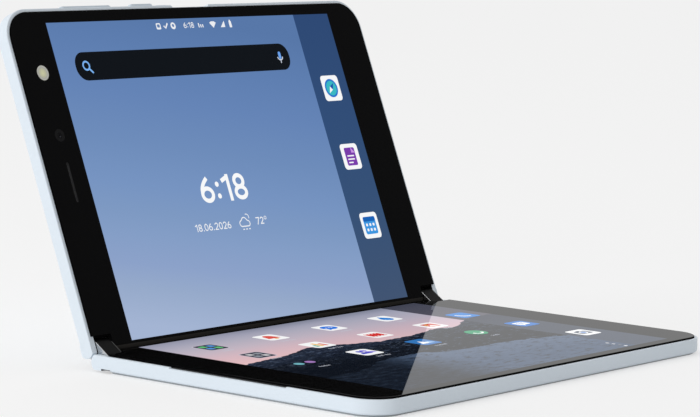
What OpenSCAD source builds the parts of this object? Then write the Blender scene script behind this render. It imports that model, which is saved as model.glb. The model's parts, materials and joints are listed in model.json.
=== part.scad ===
// Dual-screen folding phone: two thin halves joined edge to edge by a pair of geared two-axis hinges.
//
// Each half is modelled in its own frame: X along the hinge, Y = 0 on the hinge axis with the half
// reaching towards -Y, and Z = 0 at mid thickness with the screen on the +Z side. "Out" below means
// the distance from the hinge axis, so out = -Y. at_base() and at_lid() place a half, and at_link()
// places the hinge links, whose Z runs from the base's axis to the lid's.
// The whole rests on the base's back glass: origin at the middle of that face, +Z up.

/* [Halves] */
// Length of each half along the hinge
half_w = 145.2; // [130:0.1:180]
// Depth of each half, from the spine to the outer edge
half_h = 93.3; // [88:0.1:115]
// Thickness of each half
half_t = 4.8; // [4.8:0.05:5.8]
// Radius of the two outer corners, seen from above
corner_r = 8.6; // [6.5:0.1:12]
// Gap between the two halves when folded shut
fold_gap = 0.3; // [0.25:0.01:0.4]
// Angle between the two screens as shown
open_angle = 112.2; // [0:0.1:360]

/* [Frame] */
// Width of the moulded wall round each half
wall = 3; // [2.6:0.1:3.6]
// Round along the lower edge of the frame
frame_round = 0.6; // [0.3:0.05:0.8]
// Chamfer along the upper edge of the frame
frame_chamfer = 0.12; // [0.05:0.01:0.2]
// Length of the thumb scoop in the base's left edge
scoop_len = 38; // [30:0.5:46]
// Distance of the scoop from the hinge axis
scoop_out = 24.4; // [20:0.1:27]
// Depth of the scoop
scoop_depth = 0.3; // [0.2:0.05:0.4]

/* [Glass] */
// Thickness of the cover glass and of the back glass
glass_t = 0.5; // [0.4:0.05:0.6]
// Distance of the glass edge inside the frame edge
glass_inset = 0.9; // [0.5:0.05:1]
// Round along the outer edge of the glass
glass_round = 0.25; // [0.15:0.05:0.35]

/* [Display] */
// Distance of the display panel from the side edges
panel_side = 14; // [12:0.1:20]
// Distance of the display panel from the outer edge
panel_end = 3.45; // [3.4:0.05:12]
// Thickness of the display panel
panel_t = 0.8; // [0.6:0.05:0.9]
// Thickness of the metal mid-plate under the display
plate_t = 0.3; // [0.2:0.05:0.4]

/* [Hinge] */
// Length of each hinge link along the hinge
link_len = 5.6; // [5:0.1:7]
// Width of the frame ear outboard of each link
ear_w = 1.8; // [1.4:0.1:2.2]
// Side clearance of a link in its notch
link_gap = 0.15; // [0.08:0.01:0.2]
// Depth of the hinge notch beyond the hinge axis
notch_out = 2.9; // [2.9:0.1:3.5]
// Radius of the hinge shafts
shaft_r = 0.5; // [0.4:0.01:0.55]
// Radius of the idler gear journals
journal_r = 0.38; // [0.3:0.01:0.45]
// Running clearance of shafts and journals, on the radius
run_gap = 0.03; // [0.02:0.005:0.06]
// Number of teeth on each of the four equal gears in a link
gear_teeth = 12; // [10:2:16]
// Face width of the gears
gear_w = 2; // [1.5:0.1:2.2]
// Pressure angle of the gear teeth
gear_pressure = 25; // [22:1:27]
// Play between meshing teeth at the pitch line
gear_play = 0.02; // [0.01:0.005:0.03]
// Thickness of the black cover on the screen side of each link
cover_t = 0.35; // [0.25:0.05:0.4]

/* [Keys] */
// Length of the volume rocker
rocker_len = 19.3; // [16:0.1:24]
// Middle of the volume rocker along the hinge direction
rocker_x = -39.4; // [-46:0.1:-39]
// Height of the volume rocker above the edge
rocker_proud = 0.8; // [0.4:0.05:0.9]
// Length of the power key
power_len = 9; // [7:0.1:10]
// Middle of the power key
power_x = -17.8; // [-19:0.1:-17]
// Height of the power key above the edge
power_proud = 0.95; // [0.4:0.05:1]
// Width of the keys across the edge
key_w = 1.9; // [1.5:0.1:2.1]
// Travel of the keys
key_travel = 0.25; // [0.15:0.01:0.3]
// Length of the recess that holds the fingerprint sensor
touch_len = 15.7; // [13:0.1:18]
// Middle of the fingerprint recess
touch_x = 0.3; // [-1:0.1:2]
// Depth of the fingerprint recess
touch_depth = 0.7; // [0.4:0.05:0.8]

/* [Lid openings] */
// Distance of the front camera from the left edge
camera_side = 8.8; // [8.2:0.1:11]
// Distance of the front camera from the outer edge
camera_end = 34.8; // [31:0.1:36]
// Distance of the flash from the outer edge
flash_end = 17.9; // [15:0.1:22]
// Radius of the flash lens
flash_r = 2.1; // [1.5:0.1:2.4]
// Length of the earpiece slot
ear_slot_len = 10.8; // [8:0.1:12]
// Width of the earpiece slot
ear_slot_w = 0.9; // [0.6:0.05:1.2]
// Distance of the earpiece slot's middle from the outer edge
ear_slot_end = 47.5; // [46.5:0.1:50]
// Distance of the charging port from the outer edge
port_end = 22.9; // [21:0.1:40]
// Width of the charging port's mouth
port_w = 8.34; // [8.3:0.01:8.4]
// Height of the charging port's mouth
port_h = 2.56; // [2.5:0.01:2.6]
// Middle of the card tray along the hinge direction
tray_x = 40; // [36:0.1:44]
// Width of the card tray
tray_w = 11.4; // [10.5:0.1:12.5]
// Length of the card tray
tray_len = 14; // [13:0.1:15]

/* [Inside] */
// Width of the base's circuit board
board_strip = 16.5; // [14:0.5:20]
// Width of the lid's circuit board
main_board_w = 44; // [40:0.5:50]
// Distance from the hinge axis to both batteries
battery_out = 19; // [17:0.5:22]
// Distance of the base's battery from the outer wall
battery_end = 9.5; // [6:0.5:14]
// Thickness of the batteries
battery_t = 2.4; // [2:0.05:2.5]
// Thickness of the circuit boards
board_t = 0.5; // [0.4:0.05:0.6]
// Height of the shield cans
can_h = 1.1; // [0.8:0.05:1.2]

/* [Hidden] */
$fn = 64;

// Overlap of joined shapes, and how far cuts run past a face
eps = 0.02;
past = 1;

// The spine edge of each half is round about its own hinge axis
spine_r = half_t / 2;
axis_gap = half_t + fold_gap;
half_open = open_angle / 2;
edge_out = half_h - spine_r;
hinge_y = edge_out - half_h / 2;
side_x = half_w / 2;
panel_w = half_w - 2 * panel_side;
panel_start = -0.45;
panel_h = edge_out - panel_end - panel_start;

// Heights through one half, from its middle
frame_top = spine_r - glass_t;
panel_low = frame_top - panel_t;
plate_low = panel_low - 0.05 - plate_t;
plate_top = plate_low + plate_t;
cavity_low = -frame_top;
cavity_h = plate_low - cavity_low;

// The display pocket and the mid-plate's ledge in the frame
pocket_wall = 1.6;
pocket_gap = 0.1;
ledge_out = 0.9;
beam_out = 2.2;

// Hinge notch, measured along X from the middle of the phone
link_x1 = side_x - ear_w - link_gap;
link_x0 = link_x1 - link_len;
notch_x0 = link_x0 - link_gap;
notch_x1 = link_x1 + link_gap;
notch_wall = 2.4;
glass_notch_out = notch_out - 0.1;
back_notch_out = notch_out + 1.4;
link_r = spine_r - 0.05;

// Gears: four in a row between the two axes
gear_step = axis_gap / 3;
pitch_r = gear_step / 2;
gear_module = gear_step / gear_teeth;
tip_r = pitch_r + 0.9 * gear_module;
root_r = pitch_r - 1.15 * gear_module;
involute_r = pitch_r * cos(gear_pressure);
flank_steps = 2;
end_plate_t = 0.8;
gear_x0 = link_x0 + end_plate_t + 0.1;
gear_x1 = gear_x0 + gear_w;
gear_room = 0.12;
journal_len = 0.9;

// Brackets that carry the shafts inside each half
bracket_x0 = notch_x0 - notch_wall - 11.5;
bracket_x1 = notch_x0 - notch_wall - 0.2;
barrel_r = min(1.4, panel_low - 0.05);
leaf_out = 15;
leaf_low = cavity_low + 0.4;
leaf_t = 0.8;
screw_r = 0.5;
screw_head_r = 0.95;
boss_r = 1.25;
shaft_tip_x = side_x - 0.6;
bracket_holes = [[bracket_x0 + 3, 8], [bracket_x0 + 8.3, 8], [bracket_x0 + 5.65, 13]];

// Keys and what is behind them in the outer wall
wall_out = edge_out - wall;
key_gap = 0.1;
strip_out = wall_out - 0.9;
flange_t = 0.5;
flange_over = 0.75;
flange_w = 2.7;
stop_out = edge_out - 1.8;
stop_gap = 0.2;
key_room_x0 = rocker_x - rocker_len / 2 - flange_over - 0.5;
key_room_x1 = touch_x + touch_len / 2;
touch_pad_len = touch_len - 3;
land_h = 0.28;
land_x0 = power_x + power_len / 2 + 0.3;
land_x1 = touch_x - touch_len / 2;

// Openings along the left side of the lid and its charging port
camera_x = camera_side - side_x;
camera_out = edge_out - camera_end;
flash_out = edge_out - flash_end;
ear_slot_out = edge_out - ear_slot_end;
port_out = edge_out - port_end;
port_shell_t = 0.3;
port_shell_len = 7.3;
port_corner = 1.1;

// Card tray and reader
tray_t = 0.9;
tray_head_w = key_w;
tray_head_t = 1.2;
reader_t = 0.2;
tray_z = min(0, plate_low - tray_t / 2 - 0.08 - reader_t - 0.02);
card_w = 8.8;
card_len = 12.3;
card_t = 0.67;

// Boards
board_low = -0.2;
board_edge = 1;
board_x0 = side_x - wall - board_edge;
board_out = 17;
board_end = wall_out - 4;
cutout = 0.5;
camera_size = 8.6;
camera_barrel_r = 3;
lens_r = 1.7;
battery_top = plate_low - 0.1;

// Placing

module at_base() translate([0, hinge_y, spine_r]) children();

module at_link() translate([0, hinge_y, spine_r]) rotate([-half_open, 0, 0]) children();

module at_lid() at_link() translate([0, 0, axis_gap]) rotate([-half_open, 0, 0]) mirror([0, 0, 1]) children();

module both_ends() for (side = [0, 1]) mirror([side, 0, 0]) children();

// A block between two corners, given as [x, out, z] with out measured from the hinge axis
module block(a, b) translate([a.x, -b.y, a.z]) cube([b.x - a.x, b.y - a.y, b.z - a.z]);

module rod_x(r, x0, x1) translate([x0, 0, 0]) rotate([0, 90, 0]) cylinder(r = r, h = x1 - x0);

module rod_out(r, out0, out1) translate([0, -out0, 0]) rotate([90, 0, 0]) cylinder(r = r, h = out1 - out0);

// A slab from z0 to z1 whose plan has four round corners
module rounded_slab(x0, out0, x1, out1, z0, z1, r) {
    translate([0, 0, z0]) linear_extrude(z1 - z0) {
        translate([x0 + r, -out1]) square([x1 - x0 - 2 * r, out1 - out0]);
        translate([x0, -out1 + r]) square([x1 - x0, out1 - out0 - 2 * r]);
        for (x = [x0 + r, x1 - r], y = [-out1 + r, -out0 - r]) translate([x, y]) circle(r);
    }
}

// Half outline

// Plan of a half drawn in by "inset", reaching to out = start
module half_outline(inset, start) {
    x1 = side_x - inset;
    y1 = inset - edge_out;
    r = corner_r - inset;
    translate([-x1, y1 + r]) square([2 * x1, -start - y1 - r]);
    translate([-x1 + r, y1]) square([2 * (x1 - r), r + eps]);
    for (x = [-x1 + r, x1 - r]) translate([x, y1 + r]) circle(r);
}

module half_slab(inset, start, z0, z1) translate([0, 0, z0]) linear_extrude(z1 - z0) half_outline(inset, start);

// Carries a profile along the two sides, the outer edge and the two corners. The profile's X is
// the distance from the corner's centre and its Y is the height
module rim_sweep(start) {
    cx = side_x - corner_r;
    cy = corner_r - edge_out;
    both_ends() {
        translate([cx, cy, 0]) rotate([0, 0, 270]) rotate_extrude(angle = 90) children();
        translate([cx, -start, 0]) rotate([90, 0, 0]) linear_extrude(-start - cy) children();
    }
    translate([cx, cy, 0]) rotate([0, 0, -90]) rotate([90, 0, 0]) linear_extrude(2 * cx) children();
}

// Everything outboard of the hinge axis, and the round spine
module spine_limit() {
    block([-side_x, 0, -spine_r], [side_x, edge_out + past, spine_r]);
    rod_x(spine_r, -side_x, side_x);
}

module hinge_notches(x1, out) both_ends() block([notch_x0, -half_t, -half_t], [x1, out, half_t]);

// Shells of a half

// Quarter round on the top outer edge of the glass
module glass_edge() {
    r = corner_r - glass_inset;
    intersection() {
        translate([r - glass_round - eps, frame_top]) square([glass_round + eps, glass_t]);
        union() {
            translate([r - glass_round - eps, frame_top]) square([glass_round + eps, glass_t - glass_round]);
            translate([r - glass_round, spine_r - glass_round]) circle(glass_round);
        }
    }
}

// Glass of the screen side, left out round the hinge links up to out = notch. Its edge at the spine
// follows the round of the spine
module face_glass(notch) {
    difference() {
        union() {
            intersection() {
                half_slab(glass_inset + glass_round - eps, -spine_r, frame_top, spine_r);
                spine_limit();
            }
            rim_sweep(notch) glass_edge();
        }
        hinge_notches(side_x + past, notch);
    }
}

// Cross-section of the frame wall
module wall_section() {
    r = corner_r;
    polygon([
        [r - wall, cavity_low], [r - frame_round, cavity_low],
        for (a = [0 : 15 : 90]) [r - frame_round + frame_round * sin(a), cavity_low + frame_round * (1 - cos(a))],
        [r, frame_top - frame_chamfer], [r - frame_chamfer, frame_top],
        [r - pocket_wall, frame_top], [r - pocket_wall, plate_low], [r - wall, plate_low]
    ]);
}

// The moulded frame with its spine beam, hinge notches and ears, before a half's own cut-outs
module frame_shell() {
    difference() {
        union() {
            rim_sweep(0) wall_section();
            intersection() {
                union() {
                    rod_x(spine_r, -side_x + frame_chamfer, side_x - frame_chamfer);
                    both_ends() translate([side_x - frame_chamfer, 0, 0]) rotate([0, 90, 0])
                        cylinder(r1 = spine_r, r2 = spine_r - frame_chamfer, h = frame_chamfer);
                    block([-side_x + wall, 0, cavity_low], [side_x - wall, beam_out, frame_top]);
                    both_ends() block([notch_x0 - notch_wall, 0, cavity_low],
                        [side_x - pocket_wall, notch_out + pocket_wall, frame_top]);
                }
                block([-side_x, -half_t, cavity_low], [side_x, half_t + notch_out, frame_top]);
            }
        }
        hinge_notches(notch_x1, notch_out);
        // room for the display, then for the mid-plate
        block([-panel_w / 2 - pocket_gap, panel_start - pocket_gap, panel_low],
            [panel_w / 2 + pocket_gap, notch_out + wall, frame_top + past]);
        block([-notch_x0 + notch_wall, ledge_out, plate_low],
            [notch_x0 - notch_wall, notch_out + wall, frame_top + past]);
        both_ends() {
            rod_x(barrel_r + pocket_gap, bracket_x0 - pocket_gap, bracket_x1 + pocket_gap);
            block([bracket_x0 - pocket_gap, -0.3, leaf_low - pocket_gap],
                [bracket_x1 + pocket_gap, beam_out + past, leaf_low + leaf_t]);
            block([bracket_x0 - pocket_gap, 0, leaf_low + leaf_t - eps],
                [bracket_x1 + pocket_gap, beam_out + past, plate_low + past]);
            rod_x(shaft_r + run_gap, bracket_x1, shaft_tip_x + run_gap);
        }
    }
}

module midplate_blank() {
    difference() {
        union() {
            difference() {
                half_slab(pocket_wall + pocket_gap, ledge_out + pocket_gap, plate_low, plate_top);
                both_ends() block([notch_x0 - notch_wall - pocket_gap, 0, -half_t],
                    [side_x, notch_out + pocket_wall + pocket_gap, half_t]);
            }
            both_ends() for (hole = bracket_holes) translate([hole.x, -hole.y, leaf_low + leaf_t])
                cylinder(r = boss_r, h = plate_low - leaf_low - leaf_t + eps);
        }
        both_ends() for (hole = bracket_holes) translate([hole.x, -hole.y, leaf_low])
            cylinder(r = screw_r, h = plate_low - leaf_low);
    }
}

// Mid-plate with a threaded post over each of the board's screws
module midplate(spots) {
    difference() {
        union() {
            midplate_blank();
            for (spot = spots) translate([spot.x, -spot.y, board_low + board_t])
                cylinder(r = 1.1, h = plate_low - board_low - board_t + eps);
        }
        for (spot = spots) translate([spot.x, -spot.y, board_low]) cylinder(r = screw_r, h = 3);
    }
}

module display_panel() {
    rounded_slab(-panel_w / 2, panel_start, panel_w / 2, panel_start + panel_h, panel_low, frame_top, 1.2);
}

// Hinge parts of a half

// A steel leaf with a barrel that grips the shaft
module hinge_bracket() {
    difference() {
        union() {
            rod_x(barrel_r, bracket_x0, bracket_x1);
            rounded_slab(bracket_x0, -0.2, bracket_x1, leaf_out, leaf_low, leaf_low + leaf_t, 0.19);
        }
        rod_x(shaft_r, bracket_x0 - past, bracket_x1 + past);
        for (hole = bracket_holes) translate([hole.x, -hole.y, leaf_low - past])
            cylinder(r = screw_r, h = leaf_t + 2 * past);
    }
}

function involute_at(r) = let (a = acos(min(1, involute_r / r))) tan(a) * 180 / PI - a;

// Half the angle that a tooth fills at radius r
function tooth_half(r) = 90 / gear_teeth - gear_play / pitch_r * 45 / PI
    + involute_at(pitch_r) - involute_at(max(r, involute_r));

function polar(r, a) = [r * cos(a), r * sin(a)];

// One tooth centred on angle a: root, involute flank, tip, flank, root
function tooth(a) = let (radii = [for (i = [0 : flank_steps]) involute_r + (tip_r - involute_r) * i / flank_steps])
    concat(
        [polar(root_r, a - tooth_half(root_r))],
        [for (r = radii) polar(r, a - tooth_half(r))],
        [for (i = [flank_steps : -1 : 0]) polar(radii[i], a + tooth_half(radii[i]))],
        [polar(root_r, a + tooth_half(root_r))]
    );

// A gear about the X axis. With phase 0 a tooth points along Z, with phase 1 a gap does
module gear(phase) translate([gear_x0, 0, 0]) rotate([0, 90, 0]) linear_extrude(gear_w)
    polygon([for (i = [0 : gear_teeth - 1]) each tooth((i + phase / 2) * 360 / gear_teeth)]);

// Shaft fixed in a half, with the gear cut on it. "turn" brings the tooth to the line of the gears
module geared_shaft(turn, phase) {
    rod_x(shaft_r, bracket_x0, shaft_tip_x);
    rotate([turn, 0, 0]) gear(phase);
}

module bracket_screws() {
    both_ends() for (hole = bracket_holes) translate([hole.x, -hole.y, 0]) {
        translate([0, 0, cavity_low + 0.05]) difference() {
            cylinder(r = screw_head_r, h = leaf_low - cavity_low - 0.05);
            cube([1.1, 0.22, 0.36], center = true);
            cube([0.22, 1.1, 0.36], center = true);
        }
        translate([0, 0, leaf_low - eps]) cylinder(r = screw_r, h = plate_low - leaf_low - 0.3);
    }
}

// Hinge link

module racetrack(r, x0, x1) {
    rod_x(r, x0, x1);
    translate([0, 0, axis_gap]) rod_x(r, x0, x1);
    translate([x0, -r, 0]) cube([x1 - x0, 2 * r, axis_gap]);
}

module cover_room(side_gap) translate([link_x0 + side_gap, -half_t, -spine_r - past])
    cube([link_len - 2 * side_gap, half_t - link_r + cover_t, axis_gap + half_t + 2 * past]);

module shaft_bores(x0, x1) for (z = [0, axis_gap]) translate([0, 0, z]) rod_x(shaft_r + run_gap, x0, x1);

module journal_bores(x0, x1) for (i = [1, 2]) translate([0, 0, i * gear_step]) rod_x(journal_r + run_gap, x0, x1);

// Outer block of the link: shaft bores, a pocket for the gears and blind bores for the idlers
module link_housing() difference() {
    racetrack(link_r, link_x0 + end_plate_t, link_x1);
    racetrack(tip_r + gear_room, link_x0 + end_plate_t - past, gear_x1 + 0.1);
    shaft_bores(gear_x1 - past, link_x1 + past);
    journal_bores(gear_x1 - past, gear_x1 + journal_len + 0.1);
    cover_room(0.2);
}

module link_end_plate() difference() {
    racetrack(link_r, link_x0, link_x0 + end_plate_t);
    shaft_bores(link_x0 - past, link_x0 + end_plate_t + past);
    journal_bores(link_x0 - past, link_x0 + end_plate_t + past);
    cover_room(0.2);
}

module link_cover() intersection() {
    racetrack(link_r, link_x0 + 0.2, link_x1 - 0.2);
    cover_room(0.2);
}

module idler(place) translate([0, 0, place * gear_step]) {
    gear(place == 1 ? 1 : 0);
    rod_x(journal_r, link_x0 + 0.1, gear_x0 + eps);
    rod_x(journal_r, gear_x1 - eps, gear_x1 + journal_len);
}

// Inside a half

// Foil pouch with rounded long edges and the folded terrace that carries its tabs
module battery(x0, x1, out1, terrace_x) {
    out0 = battery_out + 2.2;
    r = battery_t / 2;
    z0 = battery_top - battery_t;
    translate([0, 0, z0]) block([x0 + r, out0, 0], [x1 - r, out1, battery_t]);
    for (x = [x0 + r, x1 - r]) translate([x, -out0, z0 + r]) rod_out(r, 0, out1 - out0);
    rounded_slab(x0 + r, battery_out, x1 - r, out0 + eps, z0 + r - 0.4, z0 + r + 0.4, 0.3);
    rounded_slab(terrace_x - 6, battery_out - 1.6, terrace_x + 6, battery_out + eps, z0 + r - 0.25, z0 + r + 0.25, 0.3);
}

module can(x0, out0, x1, out1) difference() {
    rounded_slab(x0, out0, x1, out1, board_low - can_h, board_low, 0.6);
    rounded_slab(x0 + 0.15, out0 + 0.15, x1 - 0.15, out1 - 0.15, board_low - can_h + 0.15, board_low + past, 0.45);
}

module magnets() for (x = [12.6 - board_x0 - 1.5, board_x0 - 12.6])
    rounded_slab(x - 5, wall_out - 3.4, x + 5, wall_out - 0.2, -1.5, plate_low, 0.4);

// Flat cable from the display's far edge down through the mid-plate to the board
module display_flex(x) {
    flex_t = 0.15;
    out = panel_start + panel_h - 6;
    low = board_low + board_t;
    block([x - 5, out - 9, low], [x + 5, out, low + flex_t]);
    block([x - 5, out - flex_t, low], [x + 5, out, panel_low]);
}

module flex_slot(x) block([x - 5.3, panel_start + panel_h - 6.8, plate_low - past],
    [x + 5.3, panel_start + panel_h - 5.5, plate_top + past]);

module board_plan(x0, x1) rounded_slab(x0, board_out, x1, board_end, board_low, board_low + board_t, 1.2);

module board_screw(x, out) {
    translate([x, -out, board_low - 0.35]) cylinder(r = screw_head_r, h = 0.35);
    translate([x, -out, board_low - eps]) cylinder(r = screw_r, h = plate_low - board_low + eps);
}

// Base

base_flex_x = -board_x0 + board_strip / 2;
base_screw_spots = [[-board_x0 + 2, board_out + 2.5], [-board_x0 + board_strip - 2, board_out + 2.5],
    [-board_x0 + 2, board_end - 14]];

module base_frame() color("whitesmoke") at_base() difference() {
    frame_shell();
    // thumb scoop in the left edge
    block([-side_x - past, scoop_out, frame_top - scoop_depth],
        [-side_x + glass_inset, scoop_out + scoop_len, frame_top + past]);
    // notch in the lower edge beside the left ear
    block([-side_x - past, 1.2, -half_t], [-side_x + 1.4, 4.3, 0.5 - spine_r + glass_t]);
}

module base_back_glass() color("white") at_base() mirror([0, 0, 1]) face_glass(back_notch_out);

module base_cover_glass() color("black") at_base() face_glass(glass_notch_out);

module base_display() color("slateblue") at_base() display_panel();

module base_midplate() color("silver") at_base() difference() {
    midplate(base_screw_spots);
    flex_slot(base_flex_x);
}

module base_battery() color("dimgray") at_base() battery(
    -board_x0 + board_strip + 3, board_x0 - 19.5, wall_out - battery_end, -board_x0 + board_strip + 20);

module base_board() color("darkgreen") at_base() difference() {
    board_plan(-board_x0, -board_x0 + board_strip);
    for (spot = base_screw_spots) translate([spot.x, -spot.y, board_low - past]) cylinder(r = screw_r, h = 3);
}

module base_shield_cans() color("lightsteelblue") at_base() {
    can(-board_x0 + 1, board_out + 6, -board_x0 + board_strip - 1, board_out + 26);
    can(-board_x0 + 4, board_out + 28, -board_x0 + board_strip - 1, board_out + 44);
}

module base_vibration_motor() color("gray") at_base() {
    rounded_slab(board_x0 - 13, 56, board_x0, 66, -1.7, battery_top, 1.5);
    rounded_slab(board_x0 - 13, 54.4, board_x0 - 7, 56 + eps, -0.2, 0, 0.2);
}

module base_magnets() color("darkgray") at_base() magnets();

module base_hinge_brackets() color("lightgray") at_base() both_ends() hinge_bracket();

module base_hinge_shafts() color("gray") at_base() both_ends() geared_shaft(-half_open, 0);

module base_bracket_screws() color("silver") at_base() bracket_screws();

module base_board_screws() color("silver") at_base() for (spot = base_screw_spots) board_screw(spot.x, spot.y);

module base_display_flex() color("orange") at_base() display_flex(base_flex_x);

// Links

module left_link_housing() color("lightgray") at_link() mirror([1, 0, 0]) link_housing();

module left_link_end_plate() color("lightgray") at_link() mirror([1, 0, 0]) link_end_plate();

module left_link_cover() color("black") at_link() mirror([1, 0, 0]) link_cover();

module left_idler_lower() color("gray") at_link() mirror([1, 0, 0]) idler(1);

module left_idler_upper() color("gray") at_link() mirror([1, 0, 0]) idler(2);

module right_link_housing() color("lightgray") at_link() link_housing();

module right_link_end_plate() color("lightgray") at_link() link_end_plate();

module right_link_cover() color("black") at_link() link_cover();

module right_idler_lower() color("gray") at_link() idler(1);

module right_idler_upper() color("gray") at_link() idler(2);

// Lid

lid_flex_x = -board_x0 + main_board_w - 9;
lid_screw_spots = [[-board_x0 + 2.5, board_out + 2.5], [-board_x0 + main_board_w - 2.5, board_out + 2.5],
    [-board_x0 + main_board_w - 2.5, board_end - 3], [-board_x0 + main_board_w - 2.5, 48]];

module key_slot(x, len) {
    w = key_w / 2 + key_gap;
    l = len / 2 + key_gap;
    rounded_slab_out(x - l, x + l, w, wall_out - past, edge_out + past);
    block([x - l - flange_over - key_gap, wall_out - past, -flange_w / 2 - key_gap],
        [x + l + flange_over + key_gap, stop_out, flange_w / 2 + key_gap]);
}

// A bar with round ends that runs out through the wall, half width w
module rounded_slab_out(x0, x1, w, out0, out1) {
    for (x = [x0 + w, x1 - w]) translate([x, 0, 0]) rod_out(w, out0, out1);
    block([x0 + w, out0, -w], [x1 - w, out1, w]);
}

module port_plan(grow) {
    h = port_h / 2 + grow;
    r = port_corner + grow;
    for (y = [-1, 1], z = [-1, 1]) translate([y * (port_w / 2 + grow - r), z * (h - r)]) circle(r);
    square([port_w + 2 * grow, 2 * (h - r)], center = true);
    square([port_w + 2 * grow - 2 * r, 2 * h], center = true);
}

module port_bar(grow, x0, x1) translate([x0, -port_out, 0]) rotate([90, 0, 90]) linear_extrude(x1 - x0) port_plan(grow);

module lid_frame() color("whitesmoke") at_lid() difference() {
    union() {
        frame_shell();
        // low land between the power key and the fingerprint recess
        rounded_slab_out(land_x0, land_x1, key_w / 2 + 0.2, edge_out - 1, edge_out + land_h);
    }
    key_slot(rocker_x, rocker_len);
    key_slot(power_x, power_len);
    // fingerprint recess across the whole edge, and the sensor's pocket
    translate([0, 0, -half_t]) linear_extrude(2 * half_t) polygon([
        [touch_x - touch_len / 2, -edge_out - past], [touch_x - touch_len / 2, -edge_out],
        [touch_x - touch_len / 2 + touch_depth, touch_depth - edge_out],
        [touch_x + touch_len / 2 - touch_depth, touch_depth - edge_out],
        [touch_x + touch_len / 2, -edge_out], [touch_x + touch_len / 2, -edge_out - past]
    ]);
    rounded_slab_out(touch_x - touch_pad_len / 2 - 0.05, touch_x + touch_pad_len / 2 + 0.05, key_w / 2 + 0.15,
        wall_out - past, edge_out);
    // card tray slot, charging port and microphone holes
    translate([0, 0, tray_z]) rounded_slab_out(tray_x - tray_w / 2 - 0.08, tray_x + tray_w / 2 + 0.08,
        tray_head_w / 2 + 0.08, wall_out - past, edge_out + past);
    port_bar(port_shell_t, side_x - wall - past, side_x + past);
    for (out = [port_out - 11, port_out + 11]) translate([0, -out, 0])
        rod_x(0.35, side_x - wall - past, side_x + past);
}

module lid_back_glass() color("white") at_lid() mirror([0, 0, 1]) face_glass(back_notch_out);

module lid_cover_glass() color("black") at_lid() difference() {
    face_glass(glass_notch_out);
    rounded_slab(camera_x - ear_slot_w / 2, ear_slot_out - ear_slot_len / 2, camera_x + ear_slot_w / 2,
        ear_slot_out + ear_slot_len / 2, frame_top - past, spine_r + past, ear_slot_w / 2 - 0.01);
}

module lid_display() color("slateblue") at_lid() display_panel();

module lid_midplate() color("silver") at_lid() difference() {
    midplate(lid_screw_spots);
    flex_slot(lid_flex_x);
    // room for the keys, their strip and the fingerprint sensor
    block([key_room_x0, strip_out, plate_low - past], [key_room_x1, edge_out, plate_top + past]);
    translate([camera_x, -camera_out, plate_low - past]) cylinder(r = camera_barrel_r + 0.2, h = 3);
    translate([camera_x, -flash_out, plate_low - past]) cylinder(r = flash_r + 0.1, h = 3);
    rounded_slab(camera_x - 1, ear_slot_out - 5.5, camera_x + 1, ear_slot_out + 5.5, plate_low - past, plate_top + past, 0.9);
    block([side_x - wall - port_shell_len, port_out - port_w / 2 - 1, plate_low - past],
        [side_x, port_out + port_w / 2 + 1, plate_top + past]);
}

module lid_battery() color("dimgray") at_lid()
    battery(-board_x0 + main_board_w + 3, board_x0 - 8, wall_out - tray_len + 1.5, -board_x0 + main_board_w + 12);

module lid_main_board() color("darkgreen") at_lid() difference() {
    board_plan(-board_x0, -board_x0 + main_board_w);
    block([camera_x - camera_size / 2 - cutout, camera_out - camera_size / 2 - cutout, -half_t],
        [camera_x + camera_size / 2 + cutout, camera_out + camera_size / 2 + cutout, half_t]);
    block([camera_x - 3 - cutout, ear_slot_out - 6.5 - cutout, -half_t],
        [camera_x + 3 + cutout, ear_slot_out + 6.5 + cutout, half_t]);
    for (spot = lid_screw_spots) translate([spot.x, -spot.y, board_low - past]) cylinder(r = screw_r, h = 3);
}

module lid_shield_cans() color("lightsteelblue") at_lid() {
    x0 = -board_x0 + 11;
    x1 = -board_x0 + main_board_w - 5.5;
    can(x0, board_out + 2, x1, board_out + 20);
    can(x0, board_out + 22, x1, board_out + 40);
    can(x0, board_out + 42, x1, board_out + 58);
    can(-board_x0 + 1, board_out + 5, -board_x0 + 9.5, ear_slot_out - 9);
}

module lid_magnets() color("darkgray") at_lid() magnets();

module lid_hinge_brackets() color("lightgray") at_lid() both_ends() hinge_bracket();

module lid_hinge_shafts() color("gray") at_lid() both_ends() geared_shaft(-half_open, 1);

module lid_bracket_screws() color("silver") at_lid() bracket_screws();

module lid_board_screws() color("silver") at_lid() for (spot = lid_screw_spots) board_screw(spot.x, spot.y);

module lid_display_flex() color("orange") at_lid() display_flex(lid_flex_x);

// Camera body on the board's level, with its barrel up to the glass and a recess for the lens
module lid_camera_module() color("dimgray") at_lid() difference() {
    s = camera_size / 2;
    union() {
        rounded_slab(camera_x - s, camera_out - s, camera_x + s, camera_out + s, -1.7, plate_low - 0.05, 0.6);
        translate([camera_x, -camera_out, 0]) cylinder(r = camera_barrel_r, h = frame_top);
    }
    translate([camera_x, -camera_out, frame_top - 0.6]) cylinder(r = lens_r, h = 1);
    translate([camera_x, -camera_out, -0.8]) cylinder(r = lens_r - 0.6, h = 3);
}

module lid_camera_lens() color("lightblue") at_lid() translate([camera_x, -camera_out, frame_top - 0.6])
    cylinder(r = lens_r, h = 0.45);

module lid_flash_led() color("lemonchiffon") at_lid() translate([camera_x, -flash_out, 0]) {
    translate([0, 0, frame_top - 0.4]) cylinder(r = flash_r, h = 0.4);
    translate([0, 0, board_low + board_t]) cylinder(r = flash_r - 0.7, h = frame_top - board_low - board_t - 0.4 + eps);
}

module lid_earpiece_mesh() color("darkgray") at_lid() rounded_slab(camera_x - ear_slot_w / 2 - 0.3,
    ear_slot_out - ear_slot_len / 2 - 0.3, camera_x + ear_slot_w / 2 + 0.3,
    ear_slot_out + ear_slot_len / 2 + 0.3, plate_top, frame_top, 0.7);

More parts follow.
